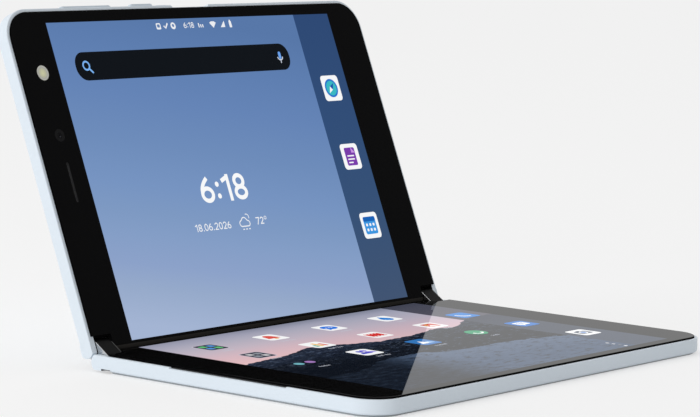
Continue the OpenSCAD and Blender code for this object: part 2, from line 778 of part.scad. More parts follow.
module lid_receiver() color("gray") at_lid() {
    rounded_slab(camera_x - 3, ear_slot_out - 6.5, camera_x + 3, ear_slot_out + 6.5, -1.6, plate_low, 1);
    rounded_slab(camera_x - 0.9, ear_slot_out - 5.4, camera_x + 0.9, ear_slot_out + 5.4, plate_low - eps, plate_top, 0.8);
}

module lid_usb_shell() color("silver") at_lid() difference() {
    port_bar(port_shell_t, side_x - port_shell_len, side_x - 0.15);
    port_bar(0, side_x - port_shell_len + port_shell_t, side_x + past);
}

module lid_usb_tongue() color("black") at_lid() {
    x0 = side_x - port_shell_len + port_shell_t;
    block([x0, port_out - 3.35, -0.35], [x0 + 5.2, port_out + 3.35, 0.35]);
    port_bar(0, x0, x0 + 1);
}

// Folded steel cage that the card tray slides into
module lid_card_reader() color("silver") at_lid() translate([0, 0, tray_z]) difference() {
    x1 = tray_w / 2 + 0.1;
    z1 = tray_t / 2 + 0.08;
    block([tray_x - x1 - reader_t, wall_out - tray_len + 2, -z1 - reader_t],
        [tray_x + x1 + reader_t, wall_out - 0.05, z1 + reader_t]);
    block([tray_x - x1, wall_out - tray_len + 2 + reader_t, -z1], [tray_x + x1, wall_out + past, z1]);
}

// Strip with the dome switches behind the keys
module lid_side_key_flex() color("orange") at_lid() {
    block([key_room_x0 + 0.1, strip_out, -0.9], [touch_x + touch_pad_len / 2, strip_out + 0.15, 0.9]);
    for (x = [rocker_x - rocker_len / 2 + 3, rocker_x + rocker_len / 2 - 3, power_x]) translate([x, 0, 0]) rod_out(0.85, strip_out + 0.1, strip_out + 0.45);
}

module lid_fingerprint_sensor() color("gainsboro") at_lid() rounded_slab_out(touch_x - touch_pad_len / 2,
    touch_x + touch_pad_len / 2, key_w / 2 + 0.1, wall_out - 0.75, edge_out - touch_depth + 0.05);

// Keys and tray

// A key's cap, its flange behind the wall and the nubs that press the domes
module key(x, len, proud, nubs) {
    flange_out = stop_out - stop_gap;
    cap_out = edge_out + proud;
    crown = 0.25;
    w = key_w / 2;
    rounded_slab_out(x - len / 2, x + len / 2, w, flange_out - eps, cap_out - crown);
    rounded_slab_out(x - len / 2 + crown, x + len / 2 - crown, w - crown, cap_out - crown - eps, cap_out);
    block([x - len / 2 - flange_over, flange_out - flange_t, -flange_w / 2],
        [x + len / 2 + flange_over, flange_out, flange_w / 2]);
    for (dx = nubs) translate([x + dx, 0, 0]) rod_out(0.5, wall_out - 0.45 + key_travel + 0.05, flange_out - flange_t + eps);
}

module volume_rocker() color("gainsboro") at_lid() key(rocker_x, rocker_len, rocker_proud,
    [3 - rocker_len / 2, rocker_len / 2 - 3]);

module power_key() color("gainsboro") at_lid() key(power_x, power_len, power_proud, [0]);

// Tray with its head flush in the edge, a window for the card and an eject hole
module card_tray() color("gainsboro") at_lid() translate([0, 0, tray_z]) difference() {
    w = tray_w / 2;
    union() {
        rounded_slab_out(tray_x - w, tray_x + w, tray_head_w / 2, edge_out - tray_head_t, edge_out);
        block([tray_x - w, edge_out - tray_len, -tray_t / 2], [tray_x + w, edge_out - tray_head_t + eps, tray_t / 2]);
    }
    block([tray_x - card_w / 2 - 0.05, edge_out - tray_head_t - card_len - 0.15, -tray_t / 2 + 0.12],
        [tray_x + card_w / 2 + 0.05, edge_out - tray_head_t - 0.05, tray_t]);
    translate([tray_x + w - 1.6, 0, 0]) rod_out(0.4, edge_out - 0.8, edge_out + past);
}

module card() color("gold") at_lid() translate([0, 0, tray_z]) rounded_slab(tray_x - card_w / 2, edge_out - tray_head_t - card_len - 0.1,
    tray_x + card_w / 2, edge_out - tray_head_t - 0.1, -tray_t / 2 + 0.12, -tray_t / 2 + 0.12 + card_t, 0.8);

base_frame();
base_back_glass();
base_cover_glass();
base_display();
base_midplate();
base_battery();
base_board();
base_shield_cans();
base_vibration_motor();
base_magnets();
base_hinge_brackets();
base_hinge_shafts();
base_bracket_screws();
base_board_screws();
base_display_flex();
left_link_housing();
left_link_end_plate();
left_link_cover();
left_idler_lower();
left_idler_upper();
right_link_housing();
right_link_end_plate();
right_link_cover();
right_idler_lower();
right_idler_upper();
lid_frame();
lid_back_glass();
lid_cover_glass();
lid_display();
lid_midplate();
lid_battery();
lid_main_board();
lid_shield_cans();
lid_magnets();
lid_hinge_brackets();
lid_hinge_shafts();
lid_bracket_screws();
lid_board_screws();
lid_display_flex();
lid_camera_module();
lid_camera_lens();
lid_flash_led();
lid_earpiece_mesh();
lid_receiver();
lid_usb_shell();
lid_usb_tongue();
lid_card_reader();
lid_side_key_flex();
lid_fingerprint_sensor();
volume_rocker();
power_key();
card_tray();
card();
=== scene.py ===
"""Foldable smartphone standing open like a small laptop: the looks of every piece, on the shared frame."""

import json
import math

import bpy
import numpy as np
from mathutils import Matrix, Vector


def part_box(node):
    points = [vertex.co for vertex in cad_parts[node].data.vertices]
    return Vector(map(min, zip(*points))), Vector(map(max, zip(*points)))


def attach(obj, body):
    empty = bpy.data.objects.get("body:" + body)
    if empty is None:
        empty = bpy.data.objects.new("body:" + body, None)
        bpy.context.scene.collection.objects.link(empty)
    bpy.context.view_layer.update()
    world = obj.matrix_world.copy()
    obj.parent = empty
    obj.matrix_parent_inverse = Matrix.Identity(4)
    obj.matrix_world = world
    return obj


bl_info = {
    "name": "Foldable Smartphone",
    "version": (1, 0, 0),
    "blender": (4, 5, 0),
    "location": "View3D > Sidebar > Fold Phone",
    "description": "Finishes, screen pictures and studio for a two-screen folding phone",
    "category": "Object",
}

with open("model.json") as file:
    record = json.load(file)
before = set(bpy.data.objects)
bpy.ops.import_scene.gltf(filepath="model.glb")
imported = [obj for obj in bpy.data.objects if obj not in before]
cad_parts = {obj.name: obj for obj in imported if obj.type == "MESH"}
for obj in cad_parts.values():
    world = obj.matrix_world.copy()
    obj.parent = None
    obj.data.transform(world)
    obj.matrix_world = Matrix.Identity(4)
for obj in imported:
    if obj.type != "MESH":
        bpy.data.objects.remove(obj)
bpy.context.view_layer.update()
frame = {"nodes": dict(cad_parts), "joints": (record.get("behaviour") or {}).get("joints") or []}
nodes = frame["nodes"]
joints = {joint["name"]: joint for joint in frame["joints"]}

MM = 0.001


def linear(red, green, blue):
    """Screen value 0..255 to linear light. v = value / 255: v / 12.92 up to 0.04045, else
    ((v + 0.055) / 1.055) to the power 2.4."""
    v = np.array([red, green, blue]) / 255
    return tuple(np.where(v <= 0.04045, v / 12.92, ((v + 0.055) / 1.055) ** 2.4).tolist())


def on_screen(colour):
    """Linear light to screen value 0..255, the reverse of linear()."""
    v = np.array(colour)
    return tuple((255 * np.where(v <= 0.0031308, v * 12.92, 1.055 * v ** (1 / 2.4) - 0.055)).tolist())


# Where the two screens are


class Face:
    """The screen side of one half: x along the hinge, "out" from the hinge axis, "normal" off the glass.

    rise is +1 where a picture's top is at the outer edge (lid) and -1 where it is at the hinge (base).
    """

    def __init__(self, axis, out, normal, rise, body):
        self.axis = np.array(axis)
        self.out = np.array(out)
        self.normal = np.array(normal)
        self.rise = rise
        self.body = body

    def place(self, x, u, w):
        """Point = axis point + x along X + u along out + w along normal, for whole arrays."""
        x, u, w = (values[..., None] for values in np.broadcast_arrays(x, u, w))
        return self.axis + x * np.array([1.0, 0, 0]) + u * self.out + w * self.normal

    def reach(self, point):
        """Distance of a point from the hinge axis along out."""
        return float(np.dot(point - self.axis, self.out))


def middle(name):
    """Middle of a node's box."""
    low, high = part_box(name)
    return np.array((low + high) / 2)


fold_axis = np.array(joints["fold"]["pos_m"])
lid_axis = np.array(joints["lid_fold"]["pos_m"])
screen_side = np.cross((1, 0, 0), lid_axis - fold_axis) / np.linalg.norm(lid_axis - fold_axis)
half_thick = float(fold_axis[2])
opened = 2 * math.atan2(lid_axis[1] - fold_axis[1], lid_axis[2] - fold_axis[2])
sine, cosine = math.sin(opened), math.cos(opened)
base_face = Face(fold_axis, (0, -1, 0), (0, 0, 1), -1, "base")
lid_face = Face(lid_axis, (0, -cosine, sine), (0, -sine, -cosine), 1, "lid")
FACES = (base_face, lid_face)

# The lit part of a display: half its width, and its two edges along u
panel_low, panel_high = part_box("base_display")
unlit_rim = 0.72 * MM
picture_half = panel_high.x - unlit_rim
picture_near = 0.24 * MM
picture_far = fold_axis[1] - panel_low.y - unlit_rim

# Hinge notches, from the right link's two pieces
notch_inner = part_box("right_link_end_plate")[0].x - 0.2 * MM
notch_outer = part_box("right_link_housing")[1].x + 0.2 * MM
notch_depth = 2.95 * MM
side_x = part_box("base_frame")[1].x

# Two walls of the base painted black as shade, beside its left ear and in the thumb scoop: middle and half
# length along u, and the height below which the ear's wall and above which the scoop's wall is painted black
ear_u, ear_half, ear_w = 2.75 * MM, 1.6 * MM, -1.38 * MM
scoop_u, scoop_half, scoop_w = 43.4 * MM, 19.1 * MM, 1.2 * MM
glass_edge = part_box("base_cover_glass")[0].x
# How near to a wall a point counts as on it
ON_WALL = 0.03 * MM
# Distance from the plane of the hinge axes towards the screens beyond which a link is painted dark as shade
LINK_LIP = 0.3 * MM


# Sizes and colours that a user may change


def colour_property(name, description, rgb):
    return bpy.props.FloatVectorProperty(
        name=name, description=description, subtype="COLOR", size=3, min=0, max=1, default=rgb
    )


def length_property(name, description, metres):
    return bpy.props.FloatProperty(
        name=name, description=description, subtype="DISTANCE", unit="LENGTH", min=0, precision=5,
        default=metres,
    )


class FoldPhoneSizes(bpy.types.PropertyGroup):
    """Sizes of what is drawn on the screens."""

    tile: length_property("Icon tile", "Side of an icon's tile", 7.7 * MM)
    tile_corner: length_property("Tile corner", "Corner radius of an icon's tile", 1.1 * MM)
    dock_start: length_property("Dock start", "Where the dock stripe starts, from the middle", 42.4 * MM)
    pill_height: length_property("Search bar", "Height of the search bar", 7.9 * MM)
    clock_height: length_property("Clock", "Height of the clock's numerals", 7.6 * MM)
    ink_lift: length_property("Ink lift", "Height of the drawings above the glass", 0.012 * MM)
    ink_step: length_property("Ink step", "Height between two layers of a drawing", 0.004 * MM)


class FoldPhoneColours(bpy.types.PropertyGroup):
    """Colours of the main finishes."""

    frame: colour_property("Frame", "Moulded frame", linear(224, 234, 243))
    back: colour_property("Back glass", "Enamel behind the back glass", linear(226, 235, 243))
    bezel: colour_property("Bezel", "Black printed behind the cover glass", linear(9, 9, 10))
    # Painted reflection: the grey of the curved glass at the hinge
    spine: colour_property("Glass spine", "Curved edge of the glass at the hinge", linear(58, 56, 54))
    dock: colour_property("Dock", "Dock stripe of the upper screen", linear(47, 77, 120))
    search_bar: colour_property("Search bar", "Search bar of the upper screen", linear(6, 12, 19))
    keys: colour_property("Keys", "Side keys and card tray", linear(214, 224, 232))
    steel: colour_property("Steel", "Hinge steel", linear(200, 202, 205))
    backdrop: colour_property("Backdrop", "Background", linear(242, 242, 242))


def sizes():
    return bpy.context.scene.fold_phone_sizes


def colours():
    return bpy.context.scene.fold_phone_colours


# Shader expressions


def forward(operation):
    """Operator method that adds a Math node of (this, other)."""
    return lambda this, other: this.maker.math(operation, this, other)


def reflected(operation):
    """Operator method that adds a Math node of (other, this)."""
    return lambda this, other: this.maker.math(operation, other, this)


class Sock:
    """A socket in an expression: each operator adds the Math node that does it."""

    def __init__(self, maker, socket):
        self.maker = maker
        self.socket = socket

    __add__, __radd__ = forward("ADD"), reflected("ADD")
    __sub__, __rsub__ = forward("SUBTRACT"), reflected("SUBTRACT")
    __mul__, __rmul__ = forward("MULTIPLY"), reflected("MULTIPLY")
    __truediv__, __rtruediv__ = forward("DIVIDE"), reflected("DIVIDE")
    __gt__, __lt__, most = forward("GREATER_THAN"), forward("LESS_THAN"), forward("MAXIMUM")

    def __abs__(self):
        return self.maker.math("ABSOLUTE", self)

    def sin(self):
        return self.maker.math("SINE", self)

    def root(self):
        return self.maker.math("POWER", self, 0.5)


class Nodes:
    """A node tree that expressions build."""

    def __init__(self, tree):
        self.tree = tree
        tree.nodes.clear()

    def feed(self, socket, value):
        if isinstance(value, Sock):
            self.tree.links.new(value.socket, socket)
        elif hasattr(value, "__len__") and len(value) == 3 and socket.type == "RGBA":
            socket.default_value = (*value, 1)
        else:
            socket.default_value = value

    def node(self, kind, settings, inputs, output=0):
        made = self.tree.nodes.new(kind)
        for key, value in settings.items():
            if key == "stops":
                ramp = made.color_ramp
                while len(ramp.elements) < len(value):
                    ramp.elements.new(1.0)
                for element, (position, colour) in zip(ramp.elements, value):
                    element.position = position
                    element.color = (*colour, 1)
            else:
                setattr(made, key, value)
        for key, value in inputs.items():
            self.feed(made.inputs[key], value)
        return Sock(self, made.outputs[output])

    def math(self, operation, *values):
        return self.node("ShaderNodeMath", {"operation": operation}, dict(enumerate(values)))

    def mix(self, factor, first, second):
        return self.node("ShaderNodeMix", {"data_type": "RGBA"}, {0: factor, 6: first, 7: second}, 2)

    def shades(self, factor, colour, dark, light):
        """The colour scaled by dark where the factor is 0 and by light where it is 1."""
        return self.mix(factor, scaled(colour, dark), scaled(colour, light))

    def step(self, value, start, end):
        """0 below start, 1 above end, an S between them."""
        inputs = {"Value": value, "From Min": start, "From Max": end}
        return self.node("ShaderNodeMapRange", {"interpolation_type": "SMOOTHSTEP"}, inputs)

    def band(self, value, middle, outer, inner):
        """1 within inner of the middle, 0 beyond outer, an S between them."""
        return self.step(abs(value - middle), outer, inner)

    def ray(self, kind):
        return self.node("ShaderNodeLightPath", {}, {}, kind)


class Recipe(Nodes):
    """One material: a Principled shader and the nodes that feed it, all in Object coordinates."""

    def __init__(self, name, **constants):
        self.material = bpy.data.materials.new(name)
        self.material.use_nodes = True
        super().__init__(self.material.node_tree)
        self.shader = self.tree.nodes.new("ShaderNodeBsdfPrincipled")
        output = self.tree.nodes.new("ShaderNodeOutputMaterial")
        self.tree.links.new(self.shader.outputs["BSDF"], output.inputs["Surface"])
        for socket, value in constants.items():
            self.set(socket.replace("_", " "), value)
        self.spot = self.node("ShaderNodeTexCoord", {}, {}, "Object")

    def set(self, socket, value):
        self.feed(self.shader.inputs[socket], value)

    def surface(self, base, roughness, *bump):
        """Feed the colour and the roughness, and a bump of height, strength and distance."""
        self.set("Base Color", base)
        self.set("Roughness", roughness)
        if bump:
            inputs = dict(zip(("Height", "Strength", "Distance"), bump))
            self.set("Normal", self.node("ShaderNodeBump", {}, inputs))
        return self

    def glow(self, colour):
        """Feed the emission, which isn't sampled as a lamp."""
        self.set("Emission Color", colour)
        self.material.cycles.emission_sampling = "NONE"

    def ramp(self, value, stops):
        """Colour ramp of stops (value, red, green, blue), the colours as screen values."""
        low, high = stops[0][0], stops[-1][0]
        even = [((at - low) / (high - low), linear(*colour)) for at, *colour in stops]
        return self.node("ShaderNodeValToRGB", {"stops": even}, {0: (value - low) / (high - low)})

    def along(self, direction, origin=(0, 0, 0)):
        """Distance of the point from origin along direction: their dot product."""
        inputs = {0: self.spot, 1: tuple(direction)}
        dot = self.node("ShaderNodeVectorMath", {"operation": "DOT_PRODUCT"}, inputs, "Value")
        return dot - float(np.dot(direction, origin))

    def across(self, face):
        """(x, out, height) of the point in one half's own frame."""
        return tuple(self.along(way, face.axis) for way in ((1, 0, 0), face.out, face.normal))

    def stretched(self, scale, turn=(0, 0, 0)):
        return self.node("ShaderNodeMapping", {}, {"Vector": self.spot, "Scale": scale, "Rotation": turn})

    def noise(self, scale, detail=2.0, roughness=0.5, vector=None):
        inputs = {"Vector": vector or self.spot, "Scale": scale, "Detail": detail, "Roughness": roughness}
        return self.node("ShaderNodeTexNoise", {}, inputs)

    def cells(self, scale, feature="F1"):
        inputs = {"Vector": self.spot, "Scale": scale}
        return self.node("ShaderNodeTexVoronoi", {"feature": feature}, inputs, "Distance")

    def ink(self):
        """Colour that a drawing carries on its faces."""
        return self.node("ShaderNodeAttribute", {"attribute_name": "ink"}, {}, "Color")

    def direct(self):
        """1 for camera and bake rays, 0 for mirrored and bounced light: the picture lights nothing else."""
        return (1 - self.ray("Is Glossy Ray")) * (1 - self.ray("Is Diffuse Ray"))


# Painted shade: the black that the frames get in their notches, along the spine and on two walls of the base
RECESS_SHADE_BLACK = linear(9, 9, 9)
# Painted shade on the links, in the black of the link covers
LINK_SHADE_BLACK = linear(24, 25, 26)
BLACK = (0, 0, 0)

# Millimetres in a metre
PER_METRE = 1000

# Depths of bump, from fine to coarse
FINE, GRAINY, WOVEN, CRINKLED = 0.02 * MM, 0.03 * MM, 0.04 * MM, 0.2 * MM


def grey(level):
    return (level, level, level)


def scaled(colour, factor):
    return tuple(min(1.0, c * factor) for c in colour)


def finish(slot, recipe, *names):
    """Give nodes of the CAD model a material. The slot is not used."""
    for name in names:
        node = nodes[name]
        node.data.materials.clear()
        node.data.materials.append(recipe.material)


# Finishes


def moulded(name, colour, roughness=0.42, grain=0.05, shade_mask=None, **constants):
    """Satin moulded polymer: fine orange-peel grain and a faint mottle, and black painted as shade where the
    mask gives 1.
    """
    r = Recipe(name, IOR=1.45, **constants)
    fine = r.noise(2600, 2)
    base = r.shades(r.noise(55, 2), colour, 0.985, 1.01)
    if shade_mask:
        base = r.mix(shade_mask(r), base, RECESS_SHADE_BLACK)
    return r.surface(base, roughness + 0.08 * fine, fine, grain, FINE)


def painted_recess_shade(face):
    """Painted shade: mask of a frame's notch walls, its spine between the screens and two walls of the base.
    """

    def mask(r):
        x, u, w = r.across(face)
        in_notch = (abs(x) > notch_inner) * (abs(x) < notch_outer) * (u < notch_depth)
        spine = (u < 0.0) * (w > 0.0) * (abs(x) < notch_outer)
        black = in_notch.most(spine)
        if face is base_face:
            ear = (x > ON_WALL - side_x) * (x < -notch_outer) * (abs(u - ear_u) < ear_half) * (w < ear_w)
            scoop = (abs(x - glass_edge) < ON_WALL) * (abs(u - scoop_u) < scoop_half) * (w > scoop_w)
            black = black.most(ear).most(scoop)
        return black

    return mask


def link_shade(r):
    """Painted shade: mask of each link's +X half, away from the lamp, where it faces the screens."""
    depth = r.along(screen_side, fold_axis)
    x = r.along((1, 0, 0))
    centre = (notch_inner + notch_outer) / 2
    beyond = (x > centre).most((x > -centre) * (x < 0.0))
    return (depth > LINK_LIP) * beyond


def enamel_glass(name, colour, face):
    """Opaque enamel seen through polished glass; its cut edge is painted darker as shade."""
    r = Recipe(name, IOR=1.5, Coat_Weight=0.6, Coat_Roughness=0.03)
    _, u, w = r.across(face)
    enamel = r.shades(r.noise(38, 3), colour, 0.985, 1.005)
    # Painted shade: the cut edge above the outer face is darker
    edge = r.step(w, 0.03 * MM - half_thick, 0.1 * MM - half_thick) * (u > 0.0)
    return r.surface(r.mix(edge, enamel, scaled(colour, 0.42)), 0.3 + 0.05 * r.noise(900, 1))


def machined_metal(name, colour, roughness, stretch, scale, bump, shade_mask=None):
    """Metal with a grain: noise stretched along the axes. Painted shade in black where the mask gives 1."""
    r = Recipe(name, Metallic=1.0)
    grain = r.noise(scale, 3, 0.6, r.stretched(stretch))
    base = r.shades(grain * 0.6 + r.noise(120, 2) * 0.4, colour, 0.86, 1.06)
    if shade_mask:
        # Painted shade: the metal turns dark and unmetallic where the mask gives 1
        lacquer = shade_mask(r)
        base = r.mix(lacquer, base, LINK_SHADE_BLACK)
        r.set("Metallic", 1 - lacquer)
    return r.surface(base, roughness * (0.75 + 0.5 * grain), grain, bump, FINE)


def blasted_metal(name, colour):
    """Bead-blasted sheet: dense small dimples."""
    r = Recipe(name, Metallic=0.9)
    base = r.shades(r.noise(70, 3), colour, 0.9, 1.05)
    return r.surface(base, 0.5 + 0.1 * r.noise(800, 2), r.cells(3200), 0.25, GRAINY)


def tinned_sheet(name, colour):
    """Tin plate: spangled crystals and a soft rolling grain."""
    r = Recipe(name, Metallic=1.0)
    spangle = r.cells(420)
    rolled = r.noise(900, 2, 0.5, r.stretched((1, 12, 12)))
    base = r.shades(r.step(spangle, 0.2, 0.8), colour, 0.88, 1.04)
    return r.surface(base, 0.28 + 0.14 * rolled, rolled * 0.6 + spangle * 0.4, 0.12, WOVEN)


def foil_pouch(name, colour, face):
    """Battery pouch: crinkled foil with a pale label strip and bars on it."""
    r = Recipe(name, Metallic=0.4)
    x, u, _ = r.across(face)
    crinkle = r.noise(160, 4, 0.6)
    label = r.band(u, 0.052, 0.0082, 0.008) * r.band(x, -0.004, 0.0255, 0.025)
    bars = r.step((x * 2100).sin() + 0.6 * (x * 5300).sin(), 0.1, 0.2)
    bars = bars * r.band(u, 0.050, 0.0032, 0.003)
    ink = r.mix(bars, linear(206, 206, 200), linear(40, 40, 42))
    base = r.mix(label, r.shades(crinkle, colour, 0.8, 1.25), ink)
    return r.surface(base, 0.42 + 0.2 * crinkle + 0.1 * label, crinkle, 0.3, CRINKLED)


def solder_mask(name, colour, face):
    """Circuit board: copper tracks under green mask, and tinned pads."""
    r = Recipe(name)
    x, u, _ = r.across(face)
    tracks = r.step(r.cells(620, "DISTANCE_TO_EDGE"), 0.05, 0.035)
    rows = r.step((x * 3900).sin() * (u * 3900).sin(), 0.55, 0.62)
    pads = rows * r.step(r.noise(220, 1), 0.56, 0.58)
    r.set("Metallic", pads * 0.9)
    base = r.mix(pads, r.mix(tracks, colour, scaled(colour, 2.1)), linear(196, 184, 140))
    return r.surface(base, 0.34 + 0.1 * r.noise(400, 2), tracks * 0.6 + pads, 0.2, GRAINY)


def polyimide(name, colour, face):
    """Flat cable: amber film with copper lines that show through."""
    r = Recipe(name, Coat_Weight=0.3, Coat_Roughness=0.2)
    x, u, _ = r.across(face)
    lines = r.step(((x + u * 0.15) * 9000).sin(), 0.0, 0.2)
    base = r.shades(lines, colour, 0.7, 1.25)
    return r.surface(base, 0.35 + 0.1 * r.noise(500, 2), lines, 0.15, GRAINY)


def woven_mesh(name, colour):
    """Earpiece mesh: two crossed sine rows, dark between the wires."""
    r = Recipe(name, Metallic=0.8)
    x, u, _ = r.across(lid_face)
    weave = ((x + u) * 21000).sin() * ((x - u) * 21000).sin()
    wire = r.step(abs(weave), 0.25, 0.6)
    base = r.shades(wire, colour, 0.25, 1.6)
    return r.surface(base, 0.35 + 0.2 * (1 - wire), wire, 0.5, WOVEN)


def coated_lens(name):
    """Lens: dark pupil, coloured coating towards the rim and the dark barrel beyond it."""
    r = Recipe(name, IOR=1.5, Coat_Weight=1.0, Coat_Roughness=0.02)
    centre = middle("lid_camera_lens")
    x = r.along((1, 0, 0), centre)
    u = r.along(lid_face.out, centre)
    away = (x * x + u * u).root() * PER_METRE
    # Colours by the distance from the middle in millimetres
    stops = (
        (0.0, 2, 3, 6),
        (0.5, 8, 10, 22),
        (0.75, 38, 30, 70),
        (1.0, 22, 42, 60),
        (1.25, 12, 13, 15),
        (1.7, 24, 24, 26),
    )
    return r.surface(r.ramp(away, stops), 0.08 + 0.2 * r.step(away, 1.2, 1.5))


def printed_card(name):
    """Card: white print, a gold contact field with its seams, and number rows."""
    r = Recipe(name)
    centre = middle("card")
    x = r.along((1, 0, 0), centre) * PER_METRE
    u = r.along(lid_face.out, centre) * PER_METRE
    field = r.step(abs(x), 3.1, 3.0) * r.band(u, 2.2, 3.0, 2.9)
    seams = r.step(abs(abs(x) - 1.4), 0.1, 0.06).most(r.step(abs((u * 2.1).sin()), 0.12, 0.06))
    gold = r.mix(seams, linear(214, 178, 96), linear(120, 96, 50))
    rows = r.step((x * 9).sin(), 0.1, 0.3) * r.band(u, -3.6, 0.6, 0.5)
    r.set("Metallic", field * 0.85)
    base = r.mix(field, r.mix(rows, linear(232, 232, 230), linear(90, 92, 96)), gold)
    return r.surface(base, 0.4 - 0.12 * field)


def lacquered(name, colour, roughness=0.25):
    """Smooth lacquer with faint flow."""
    r = Recipe(name, Coat_Weight=0.35, Coat_Roughness=0.08)
    base = r.shades(r.noise(140, 2), colour, 0.97, 1.02)
    return r.surface(base, roughness + 0.06 * r.noise(1200, 2))


# Screens

# Coat weight of both cover glasses and what is drawn on them: how much of the studio they mirror
VEIL = 0.5
# Waves of the display's pixel pattern in radians a metre: one pixel each 0.1 mm
PIXELS = 62832
# Half width of the soft edge of a lit picture, and of the dock stripe
SOFT_EDGE = 0.02 * MM
DOCK_EDGE = 0.03 * MM

# Colours up the upper sky, the distance from the hinge over which they run, and their lean along x
SKY_SPAN, SKY_LEAN = 86 * MM, 0.17
UPPER_SKY = (
    (-0.06, 165, 182, 213),
    (0.06, 151, 171, 204),
    (0.137, 141, 163, 203),
    (0.233, 133, 159, 200),
    (0.31, 126, 154, 196),
    (0.40, 119, 149, 195),
    (0.54, 110, 141, 188),
    (0.70, 101, 133, 184),
    (0.85, 94, 127, 178),
    (1.0, 87, 120, 170),
)
UPPER_DOCK = ((0.0, 64, 84, 115), (0.3, 53, 81, 119), (0.6, 47, 77, 120), (1.0, 43, 72, 117))
LOWER_SKY = (
    (0.0, 150, 152, 172),
    (0.1, 166, 166, 186),
    (0.25, 184, 180, 196),
    (0.45, 202, 188, 201),
    (0.65, 221, 190, 199),
    (0.85, 233, 193, 197),
    (1.0, 242, 204, 202),
)
# Layers of hills: the crest's distance from the hinge, its waves (size, pace, phase), and the
# colours at the crest and below it. The crests come nearer to the hinge along x by HILL_FALL.
HILL_FALL = 0.04
HILLS = (
    (0.0345, ((0.0032, 74, 0.7), (0.0012, 171, 2.1)), linear(32, 41, 59), linear(18, 26, 39)),
    (0.0405, ((0.0044, 58, 3.4), (0.0012, 190, 0.3)), linear(17, 25, 38), linear(11, 17, 27)),
    (0.0612, ((0.0050, 45, 5.6), (0.0016, 140, 1.2)), linear(80, 99, 127), linear(66, 86, 114)),
)
# Colours laid over the evening sky, at the right side and by the hinge
HAZE, DUSK = linear(150, 158, 182), linear(70, 84, 100)
# Colours laid over the hills: their fine streaks, the two sides of the rocks, and the near left
GLINT = linear(118, 130, 152)
ROCK_DARK, ROCK_LIT = linear(5, 9, 15), linear(90, 106, 132)
NEAR_SHADE = linear(8, 15, 26)
LOWER_DOCK = (linear(52, 54, 70), linear(66, 74, 90))


def lit_glass(name, strength, **constants):
    constants.update(IOR=1.5, Coat_IOR=1.5, Coat_Roughness=0.015, Specular_IOR_Level=0.0)
    return Recipe(name, Emission_Strength=strength, **constants)


def cover_glass(name, face, picture, strength):
    """Black-bordered glass: the picture glows where the display lies behind it. The spine has a painted grey
    reflection.
    """
    r = lit_glass(name, strength)
    x, u, w = r.across(face)
    r.set("Coat Weight", VEIL * r.step(w, half_thick - 0.07 * MM, half_thick - 0.03 * MM))
    window = (
        r.step(abs(x), picture_half + SOFT_EDGE, picture_half - SOFT_EDGE)
        * r.step(u, picture_near - SOFT_EDGE, picture_near + SOFT_EDGE)
        * r.step(u, picture_far + SOFT_EDGE, picture_far - SOFT_EDGE)
        * r.step(w, half_thick - 0.04 * MM, half_thick - 0.02 * MM)
    )
    # Painted reflection: the curved spine takes the grey of the spine colour
    spine = r.step(u, -0.45 * MM, -0.6 * MM)
    r.glow(r.mix(window * r.direct(), BLACK, picture(r, x, u)))
    return r.surface(r.mix(spine, colours().bezel, colours().spine), 0.25 + 0.2 * r.noise(45, 3))


def in_dock(r, x):
    """Mask of the dock stripe."""
    return r.step(x, sizes().dock_start - DOCK_EDGE, sizes().dock_start + DOCK_EDGE)


def upper_picture(r, x, u):
    """Plain blue sky that pales towards the hinge, and the dock stripe."""
    sky = r.ramp((u + x * SKY_LEAN) / SKY_SPAN, UPPER_SKY)
    return r.mix(in_dock(r, x), sky, r.ramp(u / picture_far, UPPER_DOCK))


def lower_picture(r, x, u):
    """Pale evening sky over three layers of rocky hills; each crest is a sum of sines of x."""
    sky = r.ramp(u / 0.04, LOWER_SKY)
    sky = r.mix(r.step(x, -0.055, 0.045) * 0.3, sky, HAZE)
    by_hinge = r.step(u, 0.007, 0.0) * r.step(x, -0.035, -0.005)
    picture = r.mix(by_hinge * 0.25, sky, DUSK)
    ripple = r.noise(150, 6, 0.6) * 0.005
    crags = r.noise(420, 7, 0.72, r.stretched((0.6, 1.5, 1.0), (0, 0, 0.5)))
    for crest, waves, crest_tone, low_tone in HILLS:
        height = crest - HILL_FALL * x
        for size, pace, phase in waves:
            height = height + size * (x * pace + phase).sin()
        depth = u - height + ripple - 0.002
        shade = r.mix(r.step(depth, 0.0, 0.02), crest_tone, low_tone)
        streaks = ((u + ripple * 4) * 2600 + (x * 90).sin() * 1.5).sin()
        glint = r.step(streaks, 0.7, 0.95) * r.step(depth, 0.012, 0.0)
        shade = r.mix(glint * 0.25, shade, GLINT)
        picture = r.mix(r.step(depth, -0.0001, 0.0001), picture, shade)
        rock = r.step(depth, 0.0, 0.0006)
        picture = r.mix(rock * r.step(crags, 0.49, 0.38) * 0.65, picture, ROCK_DARK)
        picture = r.mix(rock * r.step(crags, 0.56, 0.62) * 0.55, picture, ROCK_LIT)
    near_left = r.step(x, -0.006, -0.034) * r.step(u, 0.036, 0.056)
    picture = r.mix(near_left * (0.94 - r.step(crags, 0.5, 0.62) * 0.12), picture, NEAR_SHADE)
    dock = r.mix(r.step(u, 0.01, 0.05), *LOWER_DOCK)
    return r.mix(in_dock(r, x) * 0.9, picture, dock)


def ink_material(name, strength):
    """Lit drawing under the same glass as the screen: its colour attribute glows."""
    r = lit_glass(name, strength, Coat_Weight=VEIL)
    r.set("Base Color", linear(9, 9, 10))
    r.glow(r.mix(r.direct(), BLACK, r.ink()))
    return r


def window_material(name):
    """Unlit decal seen through the glass, such as the flash: its colour attribute is the paint."""
    r = Recipe(name, Coat_Weight=VEIL, Coat_IOR=1.5, Coat_Roughness=0.02, Specular_IOR_Level=0.0)
    return r.surface(r.ink(), 0.4)


# Flat drawings


def ellipse(cx, cy, rx, ry=None, count=48, start=0.0, end=360.0):
    """Points centre + (rx cos a, ry sin a) for a from start to end."""
    ry = rx if ry is None else ry
    whole = abs(end - start) >= 360
    a = np.radians(np.linspace(start, end, count, endpoint=not whole))
    return np.column_stack([cx + rx * np.cos(a), cy + ry * np.sin(a)])


